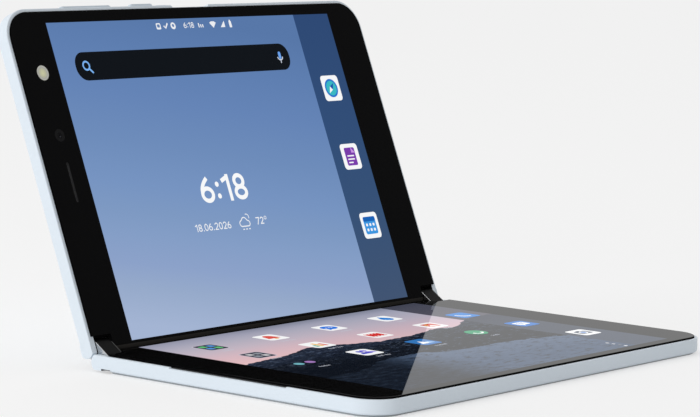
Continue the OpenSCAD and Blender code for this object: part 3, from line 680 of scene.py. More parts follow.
def round_box(cx, cy, width, height, radius, count=7):
    """Corner arcs of a rectangle: each corner's centre + radius (cos a, sin a) over its quarter turn."""
    arcs = []
    for turn, sx, sy in ((0, 1, 1), (90, -1, 1), (180, -1, -1), (270, 1, -1)):
        a = np.radians(np.linspace(0, 90, count)) + math.radians(turn)
        corner = np.array((cx + sx * (width / 2 - radius), cy + sy * (height / 2 - radius)))
        arcs.append(corner + radius * np.column_stack([np.cos(a), np.sin(a)]))
    return np.concatenate(arcs)


def slab(face, outline, low, high):
    """Closed slab: the outline (x, u) in metres at height low and again at height high, joined by walls."""
    outline = np.asarray(outline)
    n = len(outline)
    x, u = np.concatenate([outline, outline]).T
    faces = [list(range(n))[::-1], list(range(n, 2 * n))]
    faces += [[i, (i + 1) % n, (i + 1) % n + n, i + n] for i in range(n)]
    if np.dot(np.cross((1, 0, 0), face.out), face.normal) < 0:
        faces = [f[::-1] for f in faces]
    return face.place(x, u, np.repeat([low, high], n)), faces


def add_piece(name, face, shells, recipe):
    """One object of several (points, faces) shells, riding on the face's half."""
    points, faces = [], []
    for shell_points, shell_faces in shells:
        faces += [[i + len(points) for i in f] for f in shell_faces]
        points += shell_points.tolist()
    mesh = bpy.data.meshes.new(name)
    mesh.from_pydata(points, [], faces)
    mesh.materials.append(recipe.material)
    obj = bpy.data.objects.new(name, mesh)
    bpy.context.scene.collection.objects.link(obj)
    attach(obj, face.body)
    return mesh


# Captions: a letter's pitch against the caption's height, a short bar's height against a tall one's,
# and a bar's width against the pitch
LETTER_PITCH, SHORT_BAR, BAR_WIDTH = 0.62, 0.7, 0.5


class Drawing:
    """Flat shapes in one half's picture, in millimetres from a centre, each with a colour and a layer."""

    def __init__(self, face, x=0.0, u=0.0):
        self.face = face
        self.points, self.faces, self.inks, self.total = [], [], [], 0
        self.at(x, u)

    def at(self, x, u):
        """Move the centre for the shapes that follow."""
        self.x, self.u = x, u
        return self

    def add(self, flat, faces, colour, layer):
        flat = np.asarray(flat)
        x = (self.x + flat[:, 0]) * MM
        u = (self.u + self.face.rise * flat[:, 1]) * MM
        lift = half_thick + sizes().ink_lift + layer * sizes().ink_step
        self.points.append(self.face.place(x, u, lift))
        self.faces += [[i + self.total for i in f] for f in faces]
        self.inks += [linear(*colour)] * len(faces)
        self.total += len(flat)

    def fill(self, outline, colour, layer=1):
        """The inside of a closed outline, turned to run anticlockwise where its area comes out negative."""
        x, y = np.asarray(outline, float).T
        if np.sum(x * np.roll(y, -1) - y * np.roll(x, -1)) < 0:
            outline = outline[::-1]
        self.add(outline, [list(range(len(outline)))], colour, layer)

    def disc(self, cx, cy, radius, colour, layer=1, count=48):
        self.fill(ellipse(cx, cy, radius, count=count), colour, layer)

    def box(self, cx, cy, width, height, radius, colour, layer=1, count=7):
        self.fill(round_box(cx, cy, width, height, radius, count), colour, layer)

    def ribbon(self, path, width, colour, layer=1, closed=False, ends=False):
        """The path drawn out to both sides by half the width: path +- normal * width / 2."""
        path = np.asarray(path, float)
        if closed:
            ahead = np.roll(path, -1, 0) - np.roll(path, 1, 0)
        else:
            ahead = np.gradient(path, axis=0)
        ahead = ahead / np.linalg.norm(ahead, axis=1)[:, None]
        side = np.column_stack([-ahead[:, 1], ahead[:, 0]]) * width / 2
        n = len(path)
        quads = [[i, (i + 1) % n, (i + 1) % n + n, i + n] for i in range(n if closed else n - 1)]
        self.add(np.concatenate([path - side, path + side]), quads, colour, layer)
        if ends:
            for x, y in (path[0], path[-1]):
                self.disc(x, y, width / 2, colour, layer, 16)

    def ring(self, cx, cy, radius, width, colour, layer=1, start=0.0, end=360.0, count=48):
        path = ellipse(cx, cy, radius, None, count, start, end)
        self.ribbon(path, width, colour, layer, closed=abs(end - start) >= 360)

    def label(self, cx, cy, words, height, colour):
        """A caption that stands for words, centred: one upright bar a letter, every third one taller."""
        pitch = height * LETTER_PITCH
        left = cx - pitch * (sum(words) + len(words) - 1) / 2
        for letters in words:
            for i in range(letters):
                tall = height * (1.0 if i % 3 == 0 else SHORT_BAR)
                middle_y = cy + tall / 2 - height / 2
                self.box(left + pitch / 2, middle_y, pitch * BAR_WIDTH, tall, 0.04, colour, 1, 2)
                left += pitch
            left += pitch

    def build(self, name, recipe):
        mesh = add_piece(name, self.face, [(np.concatenate(self.points), self.faces)], recipe)
        ink = mesh.attributes.new("ink", "FLOAT_COLOR", "CORNER")
        per_corner = [(*c, 1.0) for c, f in zip(self.inks, self.faces) for _ in f]
        ink.data.foreach_set("color", np.array(per_corner, np.float32).ravel())


# Strokes of each numeral, as paths in a box 0.6 wide and 1 high, and whether a path is closed.
# The stem of the 6 is a square root curve.
stem = np.linspace(1, 0, 14)
STROKES = {
    "0": [(ellipse(0.3, 0.5, 0.22, 0.42), True)],
    "1": [([(0.07, 0.76), (0.36, 0.91)], False), ([(0.34, 1.0), (0.34, 0.0)], False)],
    "2": [
        (np.concatenate([ellipse(0.3, 0.68, 0.21, 0.24, 20, 170, -35), [(0.1, 0.08)]]), False),
        ([(0.03, 0.08), (0.55, 0.08)], False),
    ],
    "6": [
        (ellipse(0.3, 0.31, 0.215, 0.23), True),
        (np.column_stack([0.085 + 0.315 * stem, 0.36 + 0.56 * np.sqrt(stem)]), False),
    ],
    "7": [([(0.03, 0.92), (0.58, 0.92)], False), ([(0.54, 0.94), (0.2, 0.0)], False)],
    "8": [(ellipse(0.3, 0.285, 0.215, 0.205), True), (ellipse(0.3, 0.71, 0.185, 0.21), True)],
}


# Width of a figure's box against its height, and the step to the next sign in such widths
FIGURE_WIDTH = 1.27
POINT_STEP, ONE_STEP, FIGURE_STEP = 0.27, 0.5, 0.64


def numerals(drawing, text, left, bottom, height, weight, colour):
    """Writes a number from the left in wide figures. ":" is two dots and "." is one."""
    wide = height * FIGURE_WIDTH
    at = left
    for sign in text:
        if sign in ":.":
            for level in (0.22, 0.66) if sign == ":" else (0.08,):
                drawing.disc(at + 0.13 * wide, bottom + level * height, weight * 0.62, colour, 1, 20)
            at += POINT_STEP * wide
            continue
        for path, closed in STROKES[sign]:
            drawing.ribbon(np.asarray(path) * (wide, height) + (at, bottom), weight, colour, closed=closed)
        at += (ONE_STEP if sign == "1" else FIGURE_STEP) * wide


def cloud(drawing, cx, cy, size, weight, colour):
    """A cloud drawn as a line: three arcs over a flat base."""
    outline = [
        ellipse(cx + x * size, cy + y * size, radius * size, None, count, start, end)
        for x, y, radius, count, start, end in (
            (-0.5, -0.1, 0.33, 12, 262, 105),
            (-0.02, 0.12, 0.45, 14, 150, 25),
            (0.52, -0.12, 0.31, 12, 88, -88),
        )
    ]
    drawing.ribbon(np.concatenate(outline), weight, colour, closed=True)


def microphone(drawing, cx, cy, size, colour, second, layer):
    """Capsule, cradle and stand."""
    s = size
    drawing.box(cx, cy + 0.22 * s, 0.42 * s, 0.86 * s, 0.2 * s, colour, layer)
    drawing.ring(cx, cy + 0.12 * s, 0.42 * s, 0.13 * s, second, layer, 190, 350, count=18)
    drawing.box(cx, cy - 0.5 * s, 0.13 * s, 0.34 * s, 0.05 * s, second, layer, 3)


def magnifier(drawing, cx, cy, size, colour, layer):
    """Ring with a slanted handle."""
    drawing.ring(cx - 0.1 * size, cy + 0.1 * size, 0.36 * size, 0.16 * size, colour, layer)
    tail = np.array([(0.2, -0.2), (0.5, -0.5)]) * size + (cx, cy)
    drawing.ribbon(tail, 0.18 * size, colour, layer, ends=True)


WHITE = (250, 251, 252)
PALE = (238, 240, 244)
STATUS_BLUE = (100, 130, 176)


def tile(drawing, colour=WHITE):
    side = sizes().tile / MM
    drawing.box(0, 0, side, side, sizes().tile_corner / MM, colour)


def compass_icon(d):
    tile(d)
    d.disc(0, 0, 2.8, (38, 120, 206), 2)
    d.disc(0, 0, 2.2, (56, 186, 196), 3)
    d.fill([(-1.3, -1.5), (0.5, -0.5), (-0.5, 0.5)], WHITE, 4)
    d.fill([(1.3, 1.5), (-0.5, 0.5), (0.5, -0.5)], (24, 84, 170), 4)


def notes_icon(d):
    tile(d)
    d.box(0, 0, 4.6, 5.4, 0.5, (122, 58, 172), 2)
    d.fill([(0.7, 2.7), (2.3, 1.1), (0.7, 1.1)], (202, 150, 230), 3)
    for level, width in ((0.2, 3.0), (-0.8, 3.0), (-1.8, 2.0)):
        d.box(width / 2 - 1.5, level, width, 0.4, 0.1, WHITE, 3, 3)


def month_icon(d):
    tile(d)
    d.box(0, 0, 5.4, 5.2, 0.6, (60, 152, 226), 2)
    d.box(0, 1.9, 5.4, 1.4, 0.5, (18, 98, 184), 3)
    for a in (-1.5, 0, 1.5):
        for b in (0.2, -1.3):
            d.box(a, b, 0.8, 0.8, 0.15, WHITE, 3, 3)


def outline_icon(d, first, second):
    """A folder: dark tile with an outline and two small shapes in it."""
    side = sizes().tile / MM
    d.box(0, 0, side, side, 1.1, (196, 190, 204), 1)
    d.box(0, 0, side - 0.7, side - 0.7, 0.9, (60, 62, 74), 2)
    for a, b, colour in ((-1.5, 1.4, first), (1.5, 1.4, second), (-1.5, -1.4, second), (1.5, -1.4, first)):
        d.box(a, b, 2.1, 2.1, 0.4, colour, 3, 4)


def bell_icon(d):
    tile(d)
    d.fill(ellipse(0, 0.5, 1.8, 2.1, 20, 0, 180), (222, 84, 74), 2)
    d.fill([(-1.8, 0.6), (-2.5, -1.5), (2.5, -1.5), (1.8, 0.6)], (222, 84, 74), 2)
    d.fill(ellipse(0, -2.1, 0.7, 0.6, 16), (236, 172, 66), 2)


def bubble_icon(d):
    tile(d)
    d.fill(ellipse(0, 0.2, 2.7, 2.3), (44, 120, 226), 2)
    d.fill([(-1.9, -0.9), (-0.9, -1.9), (-2.5, -2.6)], (44, 120, 226), 2)
    for a in (-1.1, 0, 1.1):
        d.disc(a, 0.2, 0.36, WHITE, 3, 16)


def drop_icon(d):
    tile(d)
    d.disc(0, -0.7, 2.0, (36, 128, 214), 2)
    d.fill([(-1.85, 0.1), (1.85, 0.1), (0, 3.0)], (36, 128, 214), 2)
    d.ring(0, -0.7, 1.2, 0.35, (150, 208, 246), 3, 190, 270, count=12)


def bars_icon(d):
    tile(d)
    for a, tall, colour in ((-1.7, 2.2, (52, 168, 138)), (0, 4.4, (240, 184, 66)), (1.7, 3.3, (226, 98, 78))):
        d.box(a, tall / 2 - 2.2, 1.2, tall, 0.3, colour, 2, 3)


def film_icon(d):
    tile(d)
    d.box(0, 0, 5.6, 4.4, 0.4, (214, 52, 50), 2)
    for a in (-2, -0.7, 0.7, 2):
        for b in (-1.7, 1.7):
            d.box(a, b, 0.7, 0.6, 0.1, WHITE, 3, 3)


def album_icon(d):
    tile(d)
    d.box(0.3, 0.2, 4.8, 4.2, 0.5, (206, 66, 52), 2)
    d.disc(-0.6, 1.0, 0.6, (250, 214, 120), 3, 16)
    d.fill([(-1.9, -1.5), (0.4, 0.6), (2.3, -1.5)], (250, 232, 226), 3)


def people_icon(d):
    tile(d)
    for a, b, colour, layer in ((1.2, 0.4, (136, 122, 222), 2), (-0.8, 0, (74, 76, 190), 3)):
        d.disc(a, b + 1.2, 1.05, colour, layer, 20)
        d.fill(ellipse(a, b - 1.9, 2.0, 1.9, 20, 0, 180), colour, layer)


def peaks_icon(d):
    tile(d, (52, 120, 190))
    d.fill([(-2.6, -2.0), (-0.7, 1.6), (1.1, -2.0)], WHITE, 2)
    d.fill([(0.2, -2.0), (1.4, 0.6), (2.8, -2.0)], (168, 206, 246), 3)


def call_icon(d):
    d.disc(0, 0, 3.3, (50, 158, 112), 1)
    d.ring(0, 0, 1.8, 0.6, WHITE, 2, 200, 340, count=20)
    for a in (-1, 1):
        d.disc(1.6 * a, -0.7, 0.55, WHITE, 3, 16)


def phone_icon(d):
    tile(d, (44, 132, 212))
    d.ribbon(ellipse(1.3, 1.3, 3.2, None, 16, 188, 262), 0.95, WHITE, 2, ends=True)


def message_icon(d):
    tile(d, (46, 122, 204))
    d.box(0, 0.3, 4.8, 3.4, 0.6, WHITE, 2)
    d.fill([(-1.6, -1.1), (-0.2, -1.2), (-1.6, -2.5)], WHITE, 2)
    for level in (1.0, 0.1):
        d.box(0, level, 3.2, 0.35, 0.1, (46, 122, 204), 3, 3)


def camera_icon(d):
    tile(d)
    d.box(0, -0.1, 5.2, 3.7, 0.7, (96, 104, 118), 2)
    d.box(0, 2.0, 1.8, 0.7, 0.2, (96, 104, 118), 2, 3)
    d.disc(0, -0.1, 1.35, WHITE, 3)
    d.disc(0, -0.1, 0.85, (66, 132, 206), 4)


# Operators


class FOLD_PHONE_OT_frames(bpy.types.Operator):
    """Give both moulded frames their satin finish"""

    bl_idname = "fold_phone.frames"
    bl_label = "Moulded Frames"

    def execute(self, context):
        for face in FACES:
            # Each frame is painted black as shade in its hinge notches, along its spine between the screens
            # and, on the base, on two walls
            recipe = moulded(f"{face.body}_moulding", colours().frame, shade_mask=painted_recess_shade(face))
            finish("frame_shell", recipe, f"{face.body}_frame")
        return {"FINISHED"}


class FOLD_PHONE_OT_back_glass(bpy.types.Operator):
    """Give both back glasses their enamel"""

    bl_idname = "fold_phone.back_glass"
    bl_label = "Back Glass"

    def execute(self, context):
        for face in FACES:
            recipe = enamel_glass(f"{face.body}_enamel", colours().back, face)
            finish("white_glass", recipe, f"{face.body}_back_glass")
        return {"FINISHED"}


class FOLD_PHONE_OT_cover_glass(bpy.types.Operator):
    """Light both screens behind their cover glass"""

    bl_idname = "fold_phone.cover_glass"
    bl_label = "Cover Glass and Screens"

    def execute(self, context):
        screens = ((lid_face, "upper", upper_picture, 1.0), (base_face, "lower", lower_picture, 1.15))
        for face, level, picture, strength in screens:
            glass = cover_glass(f"{level}_cover_glass", face, picture, strength)
            finish("clear_glass", glass, f"{face.body}_cover_glass")
            r = Recipe(f"{level}_panel", Roughness=0.2)
            x, u, _ = r.across(face)
            pixels = abs((x * PIXELS).sin() * (u * PIXELS).sin())
            r.set("Base Color", r.mix(pixels * 0.3, picture(r, x, u), (0.01, 0.01, 0.012)))
            finish("screen_panel", r, f"{face.body}_display")
        return {"FINISHED"}


class FOLD_PHONE_OT_upper_picture(bpy.types.Operator):
    """Draw the search bar, clock, date and dock icons of the upper screen"""

    bl_idname = "fold_phone.upper_picture"
    bl_label = "Upper Screen Drawing"

    def execute(self, context):
        lit = ink_material("upper_ink", 1.0)

        bar = Drawing(lid_face)
        bar.box(-7.75, 74.35, 86.9, sizes().pill_height / MM, 3.6, on_screen(colours().search_bar), 1, 12)
        magnifier(bar, -46.9, 74.2, 3.2, (122, 178, 240), 2)
        microphone(bar, 31.6, 74.2, 2.6, (108, 164, 240), (208, 216, 230), 2)
        bar.build("search_bar", lit)

        clock = Drawing(lid_face)
        numerals(clock, "6:18", -17.0, 34.05, sizes().clock_height / MM, 1.2, WHITE)
        clock.build("clock_numerals", lit)

        row = Drawing(lid_face)
        numerals(row, "18.06.2026", -22.9, 26.4, 2.1, 0.28, PALE)
        cloud(row, -2.6, 27.6, 2.5, 0.3, PALE)
        row.ring(-1.3, 29.0, 0.9, 0.25, PALE, 1, -25, 115, count=14)
        for x in (-3.6, -2.4, -1.2):
            row.box(x, 25.7, 0.7, 0.3, 0.1, PALE, 1, 3)
        numerals(row, "72", 2.1, 26.6, 2.1, 0.3, PALE)
        row.ring(6.2, 28.3, 0.42, 0.2, PALE)
        row.build("date_row", lit)

        row = Drawing(lid_face, -15.3, 84.7)
        row.box(0, 0, 1.8, 1.8, 0.3, PALE, 1, 3)
        row.box(0, 0.1, 1.1, 0.9, 0.2, STATUS_BLUE, 2, 3)
        row.at(-12.4, 84.7).ribbon([(-0.8, 0.1), (-0.2, -0.6), (0.9, 0.8)], 0.5, PALE)
        row.at(-9.4, 84.7).disc(0, 0, 1.0, PALE, 1, 24)
        row.disc(0, 0.1, 0.45, STATUS_BLUE, 2, 16)
        row.at(0, 0)
        numerals(row, "6:18", -5.2, 83.9, 1.7, 0.24, PALE)
        row.label(1.9, 84.6, (3,), 1.3, PALE)
        row.at(7.0, 84.0).fill([(0, -0.3), (1.35, 1.2), (0.6, 1.6), (-0.6, 1.6), (-1.35, 1.2)], PALE)
        row.at(11.0, 84.7).fill([(-1.0, -0.9), (0.9, -0.9), (0.9, 1.0)], PALE)
        row.at(14.3, 84.7).box(0, -0.1, 1.0, 1.9, 0.2, PALE, 1, 3)
        row.box(0, 1.0, 0.5, 0.4, 0.1, PALE, 1, 3)
        row.build("status_row", lit)

        dock = Drawing(lid_face)
        for u, icon in ((64.1, compass_icon), (43.3, notes_icon), (22.5, month_icon)):
            icon(dock.at(50.35, u))
        dock.build("upper_dock_icons", lit)
        return {"FINISHED"}


class FOLD_PHONE_OT_lower_picture(bpy.types.Operator):
    """Draw the icon grid and dock of the lower screen"""

    bl_idname = "fold_phone.lower_picture"
    bl_label = "Lower Screen Drawing"

    def execute(self, context):
        lit = ink_material("lower_ink", 1.2)
        grid = Drawing(base_face)
        outline_icon(grid.at(-44.3, 13.0), (96, 190, 120), (86, 150, 214))
        outline_icon(grid.at(-44.3, 29.1), (196, 196, 200), (140, 146, 156))
        for x, u, icon in (
            (-20.4, 13.0, bell_icon),
            (3.8, 13.1, bubble_icon),
            (28.1, 13.1, drop_icon),
            (-20.6, 29.1, bars_icon),
            (3.7, 29.1, film_icon),
            (28.0, 29.1, album_icon),
            (-20.6, 45.0, people_icon),
            (3.8, 45.2, peaks_icon),
            (27.6, 45.0, call_icon),
        ):
            icon(grid.at(x, u))
        grid.at(-44.7, 45.0)
        grid.disc(-2.2, 0, 1.45, (112, 178, 190), 1, 24)
        grid.disc(2.2, 0.1, 1.45, (164, 122, 190), 1, 24)
        for x, words in ((-44.3, (6,)), (-20.5, (4, 3)), (3.8, (7,)), (28.0, (5,))):
            for u in (13.0, 29.1, 45.0):
                grid.at(x, u).label(0, -6.1, words, 1.1, (196, 200, 212))
        grid.build("icon_grid", lit)

        dock = Drawing(base_face)
        for u, icon in ((23.9, phone_icon), (44.4, message_icon), (64.9, camera_icon)):
            icon(dock.at(49.6, u))
        dock.build("lower_dock_icons", lit)

        dots = Drawing(base_face)
        for u, tone in ((79.8, 214), (81.8, 206), (83.8, 120), (85.7, 236)):
            dots.at(39.2, u).disc(0, 0, 0.55, (tone, tone, tone + 6), 1, 16)
        dots.build("page_dots", lit)
        return {"FINISHED"}


# Width, length and corner radius of the earpiece slot's cloth in millimetres
EARPIECE = (0.88, 10.78, 0.43)


class FOLD_PHONE_OT_sensor_windows(bpy.types.Operator):
    """Show the flash and the camera through the cover glass, and finish them and the earpiece"""

    bl_idname = "fold_phone.sensor_windows"
    bl_label = "Camera, Flash and Earpiece"

    def execute(self, context):
        paint = window_material("sensor_window")
        flash, lens, slot = map(middle, ("lid_flash_led", "lid_camera_lens", "lid_earpiece_mesh"))
        eye = Drawing(lid_face, flash[0] / MM, lid_face.reach(flash) / MM)
        eye.disc(0, 0, 2.05, (206, 206, 197), 0)
        eye.ring(0, 0, 1.8, 0.12, (222, 222, 212), 1)
        eye.disc(0, 0, 1.3, (224, 224, 193), 1)
        eye.disc(0, 0, 0.85, (236, 236, 198), 2)
        eye.box(0, 0, 0.8, 0.8, 0.15, (243, 243, 200), 3, 4)
        eye.build("flash_window", paint)
        eye = Drawing(lid_face, flash[0] / MM, lid_face.reach(lens) / MM)
        eye.disc(0, 0, 1.72, (29, 29, 30), 0)
        eye.ring(0, 0, 0.66, 0.26, (18, 18, 20), 1)
        eye.disc(0, 0, 0.36, (8, 8, 12), 1)
        # Painted highlight on the lens
        eye.disc(0.1, -0.34, 0.2, (66, 66, 72), 2, 16)
        eye.build("camera_window", paint)

        # Cloth that fills the earpiece slot up to the glass
        outline = round_box(slot[0] / MM, lid_face.reach(slot) / MM, *EARPIECE) * MM
        cloth = woven_mesh("earpiece_cloth_weave", linear(58, 58, 60))
        grille = slab(lid_face, outline, half_thick - 0.48 * MM, half_thick - 0.02 * MM)
        add_piece("earpiece_cloth", lid_face, [grille], cloth)

        barrel = moulded("camera_moulding", linear(38, 38, 41), roughness=0.5, grain=0.15)
        finish("camera_body", barrel, "lid_camera_module")
        finish("lens_glass", coated_lens("camera_lens"), "lid_camera_lens")
        finish("flash_plastic", lacquered("flash_lens", linear(236, 222, 150), 0.3), "lid_flash_led")
        finish("mesh_steel", woven_mesh("earpiece_weave", linear(96, 96, 100)), "lid_earpiece_mesh")
        receiver = moulded("receiver_moulding", linear(46, 46, 48), roughness=0.5, grain=0.2)
        finish("receiver_plastic", receiver, "lid_receiver")
        return {"FINISHED"}


class FOLD_PHONE_OT_hinge(bpy.types.Operator):
    """Finish the hinge links, gears, shafts, brackets and screws"""

    bl_idname = "fold_phone.hinge"
    bl_label = "Hinge Metal"

    def execute(self, context):
        steel = colours().steel
        bright = linear(216, 217, 219)
        # The links' +X half towards the screens is painted dark as shade
        polished = machined_metal("link_polish", bright, 0.16, (1, 1, 1), 700, 0.04, shade_mask=link_shade)
        matt = moulded("link_cover_matt", linear(13, 13, 14), 0.55, grain=0.2, Specular_IOR_Level=0.15)
        gears = machined_metal("gear_steel", scaled(steel, 0.62), 0.32, (0.2, 1, 1), 4200, 0.2)
        leaf = machined_metal("hinge_leaf", scaled(steel, 0.9), 0.3, (0.05, 1, 1), 2600, 0.12)
        screws = machined_metal("screw_steel", scaled(steel, 0.6), 0.35, (1, 1, 1), 3000, 0.15)
        for side in ("left", "right"):
            finish("link_metal", polished, f"{side}_link_housing", f"{side}_link_end_plate")
            finish("link_cover_plastic", matt, f"{side}_link_cover")
            finish("gear_steel", gears, f"{side}_idler_lower", f"{side}_idler_upper")
        for half in ("base", "lid"):
            finish("gear_steel", gears, f"{half}_hinge_shafts")
            finish("hinge_steel", leaf, f"{half}_hinge_brackets")
            finish("screw_steel", screws, f"{half}_bracket_screws", f"{half}_board_screws")
        return {"FINISHED"}


# Lower and upper end of the dark strips that stand for the shade in the notches, from the height of the hinge
# axis
STRIP_LOW, STRIP_HIGH = -1.7 * MM, 1.85 * MM


class FOLD_PHONE_OT_notch_strips(bpy.types.Operator):
    """Close the slits between the hinge links and the notches with dark fibrous strips, painted shade for the
    notches
    """

    bl_idname = "fold_phone.notch_strips"
    bl_label = "Notch Strips"

    def execute(self, context):
        # Painted shade: near-black strips where the notches lie in shadow
        shade_felt = Recipe("notch_felt", Specular_IOR_Level=0.1)
        fibre = shade_felt.noise(3200, 3, 0.7)
        base = shade_felt.mix(fibre, linear(5, 5, 5), linear(13, 13, 14))
        shade_felt.surface(base, 0.88 + 0.1 * fibre, fibre, 0.5, WOVEN)
        # From just outside the links' round ends to the notch's wall
        near, far = half_thick + 0.03 * MM, notch_depth - 0.07 * MM
        x0, x1 = notch_inner + 0.1 * MM, notch_outer - 0.1 * MM
        for face in FACES:
            strips = [
                slab(face, [(low, near), (high, near), (high, far), (low, far)], STRIP_LOW, STRIP_HIGH)
                for low, high in ((-x1, -x0), (x0, x1))
            ]
            add_piece(f"{face.body}_notch_strips", face, strips, shade_felt)
        return {"FINISHED"}


class FOLD_PHONE_OT_keys(bpy.types.Operator):
    """Finish the side keys, card tray, card, fingerprint sensor and charging port"""

    bl_idname = "fold_phone.keys"
    bl_label = "Keys, Tray and Port"

    def execute(self, context):
        key = moulded("key_satin", colours().keys, roughness=0.34, grain=0.04)
        finish("key_metal", key, "volume_rocker", "power_key")
        tray = moulded("tray_satin", colours().keys, roughness=0.4, grain=0.06)
        finish("tray_metal", tray, "card_tray")
        finish("card_plastic", printed_card("card_print"), "card")
        pad = lacquered("sensor_lacquer", linear(200, 206, 212))
        finish("sensor_pad", pad, "lid_fingerprint_sensor")
        drawn = machined_metal("port_drawn_steel", linear(186, 188, 190), 0.25, (1, 0.1, 0.1), 1800, 0.1)
        finish("port_steel", drawn, "lid_usb_shell", "lid_card_reader")
        tongue = moulded("port_moulding", linear(28, 28, 29), roughness=0.45, grain=0.2)
        finish("port_plastic", tongue, "lid_usb_tongue")
        return {"FINISHED"}


class FOLD_PHONE_OT_inner_parts(bpy.types.Operator):
    """Finish the plates, batteries, boards and other parts inside"""

    bl_idname = "fold_phone.inner_parts"
    bl_label = "Inner Parts"

    def execute(self, context):
        plate = blasted_metal("plate_alloy", linear(176, 178, 181))
        tin = tinned_sheet("can_tin", linear(190, 192, 194))
        motor = machined_metal("motor_steel", linear(150, 151, 153), 0.35, (1, 0.2, 1), 1600, 0.1)
        nickel = machined_metal("magnet_nickel", linear(182, 181, 176), 0.22, (1, 1, 1), 900, 0.05)
        finish("motor_steel", motor, "base_vibration_motor")
        for face, board, cable in (
            (base_face, "base_board", ()),
            (lid_face, "lid_main_board", ("lid_side_key_flex",)),
        ):
            half = face.body
            finish("alloy_plate", plate, f"{half}_midplate")
            finish("shield_steel", tin, f"{half}_shield_cans")
            finish("magnet_nickel", nickel, f"{half}_magnets")
            pouch = foil_pouch(f"{half}_pouch", linear(58, 59, 62), face)
            finish("battery_pouch", pouch, f"{half}_battery")
            finish("circuit_board", solder_mask(f"{half}_mask", linear(20, 78, 50), face), board)
            film = polyimide(f"{half}_film", linear(178, 116, 40), face)
            finish("flex_film", film, f"{half}_display_flex", *cable)
        return {"FINISHED"}


# Levels of the studio: what mirrors show of its -Y side, and the light from its -Y and +Y sides
MIRRORED_DARK = 0.1
LIGHT_NEAR, LIGHT_FAR = 0.5, 0.95

# Half of the floor's side, the part of its brightness that shadows can take away, the light on it,
# and how pale it is to bounced light
FLOOR_HALF = 3.0
FLOOR_SHADE = 0.5
FLOOR_LIGHT = 0.805
FLOOR_BOUNCE = 0.85

# A large soft lamp beside the phone's left side, facing it
LAMP_SIDE = 1.4
LAMP_POWER = 13.5
LAMP_PLACE = (-1.6, 0.0, 0.12)

# The photograph's view, fitted to the corners of both halves: BACK points from the phone to the camera
VIEW_LENS, VIEW_SENSOR = 148.69, 36
VIEW_PLACE = (-0.59656, -0.45883, 0.1260)
VIEW_BACK = (-0.773624, -0.623404, 0.113458)
VIEW_UP = (0.072961, 0.090226, 0.993245)


def add_stage_piece(name, data):
    obj = bpy.data.objects.new(name, data)
    bpy.context.scene.collection.objects.link(obj)
    return obj


def light_world(backdrop):
    """The backdrop for the camera, a studio dark on its -Y side for mirrors, and soft light all round."""
    world = bpy.data.worlds.new("studio")
    world.use_nodes = True
    world.cycles.sampling_method = "NONE"
    r = Nodes(world.node_tree)
    shader = r.tree.nodes.new("ShaderNodeBackground")
    output = r.tree.nodes.new("ShaderNodeOutputWorld")
    r.tree.links.new(shader.outputs[0], output.inputs[0])
    way = r.node("ShaderNodeTexCoord", {}, {}, "Generated")
    depth = r.node("ShaderNodeSeparateXYZ", {}, {0: way}, "Y")
    mirrored = r.mix(r.step(depth, -0.4, 0.0), grey(MIRRORED_DARK), backdrop)
    ambient = r.mix(r.step(depth, -0.5, 0.1), grey(LIGHT_NEAR), grey(LIGHT_FAR))
    unseen = r.mix(r.ray("Is Glossy Ray"), ambient, mirrored)
    r.feed(shader.inputs["Color"], r.mix(r.ray("Is Camera Ray"), unseen, backdrop))
    return world


def lay_floor(backdrop):
    """Paper that mostly glows, so that it looks like the backdrop, and takes faint shadows."""
    mesh = bpy.data.meshes.new("floor")
    corners = [(FLOOR_HALF * x, FLOOR_HALF * y, 0) for x, y in ((-1, -1), (1, -1), (1, 1), (-1, 1))]
    mesh.from_pydata(corners, [], [(0, 1, 2, 3)])
    r = Recipe("floor_paper", Roughness=1.0, Emission_Strength=1.0, Specular_IOR_Level=0.0)
    bounced = r.ray("Is Diffuse Ray")
    r.set("Base Color", r.mix(bounced, grey(FLOOR_SHADE), grey(FLOOR_BOUNCE)))
    r.glow(r.mix(bounced, grey(backdrop[0] - FLOOR_SHADE * FLOOR_LIGHT), BLACK))
    mesh.materials.append(r.material)
    add_stage_piece("floor", mesh)


def hang_lamp():
    lamp = bpy.data.lights.new("side_softbox", "AREA")
    lamp.shape = "RECTANGLE"
    lamp.size = lamp.size_y = LAMP_SIDE
    lamp.energy = LAMP_POWER
    obj = add_stage_piece("side_softbox", lamp)
    obj.location = LAMP_PLACE
    obj.rotation_mode = "QUATERNION"
    obj.rotation_quaternion = Vector((1, 0, 0)).to_track_quat("-Z", "Y")


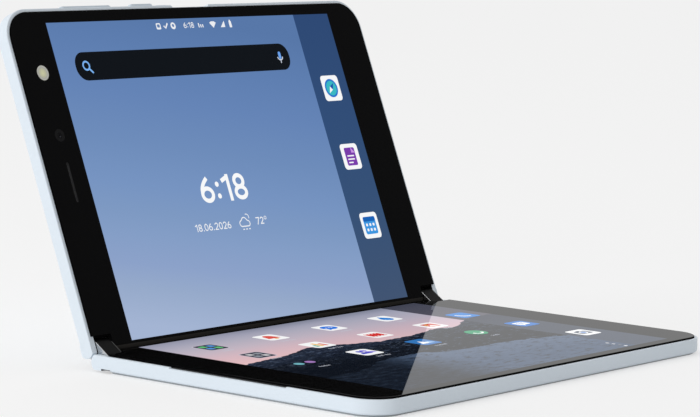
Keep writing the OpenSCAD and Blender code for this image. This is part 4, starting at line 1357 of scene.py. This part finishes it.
def place_camera():
    data = bpy.data.cameras.new("photo_view")
    data.sensor_fit = "HORIZONTAL"
    data.sensor_width = VIEW_SENSOR
    data.lens = VIEW_LENS
    data.clip_start, data.clip_end = 0.01, 20
    back = Vector(VIEW_BACK).normalized()
    right = Vector(VIEW_UP).cross(back).normalized()
    turn = Matrix((right, back.cross(right), back)).transposed().to_4x4()
    obj = add_stage_piece("photo_view", data)
    obj.matrix_world = Matrix.Translation(VIEW_PLACE) @ turn
    return obj


class FOLD_PHONE_OT_stage(bpy.types.Operator):
    """Set up the pale floor, the studio light and the camera"""

    bl_idname = "fold_phone.stage"
    bl_label = "Stage"

    def execute(self, context):
        scene = context.scene
        scene.view_settings.view_transform = "Standard"
        scene.world = light_world(colours().backdrop)
        lay_floor(colours().backdrop)
        hang_lamp()
        scene.camera = place_camera()
        return {"FINISHED"}


STEPS = (
    FOLD_PHONE_OT_frames,
    FOLD_PHONE_OT_back_glass,
    FOLD_PHONE_OT_cover_glass,
    FOLD_PHONE_OT_upper_picture,
    FOLD_PHONE_OT_lower_picture,
    FOLD_PHONE_OT_sensor_windows,
    FOLD_PHONE_OT_hinge,
    FOLD_PHONE_OT_notch_strips,
    FOLD_PHONE_OT_keys,
    FOLD_PHONE_OT_inner_parts,
    FOLD_PHONE_OT_stage,
)


class FOLD_PHONE_PT_panel(bpy.types.Panel):
    """Lists the sizes, the colours and the steps in order"""

    bl_idname = "FOLD_PHONE_PT_panel"
    bl_label = "Foldable Smartphone"
    bl_space_type = "VIEW_3D"
    bl_region_type = "UI"
    bl_category = "Fold Phone"

    def draw(self, context):
        for group in (context.scene.fold_phone_sizes, context.scene.fold_phone_colours):
            box = self.layout.box()
            for name in group.__annotations__:
                box.prop(group, name)
        for step in STEPS:
            self.layout.operator(step.bl_idname)


CLASSES = (FoldPhoneSizes, FoldPhoneColours, *STEPS, FOLD_PHONE_PT_panel)


def register():
    for cls in CLASSES:
        bpy.utils.register_class(cls)
    bpy.types.Scene.fold_phone_sizes = bpy.props.PointerProperty(type=FoldPhoneSizes)
    bpy.types.Scene.fold_phone_colours = bpy.props.PointerProperty(type=FoldPhoneColours)


def unregister():
    del bpy.types.Scene.fold_phone_colours
    del bpy.types.Scene.fold_phone_sizes
    for cls in reversed(CLASSES):
        bpy.utils.unregister_class(cls)


def main():
    register()
    for step in STEPS:
        group, name = step.bl_idname.split(".")
        getattr(getattr(bpy.ops, group), name)()


if __name__ == "__main__":
    main()
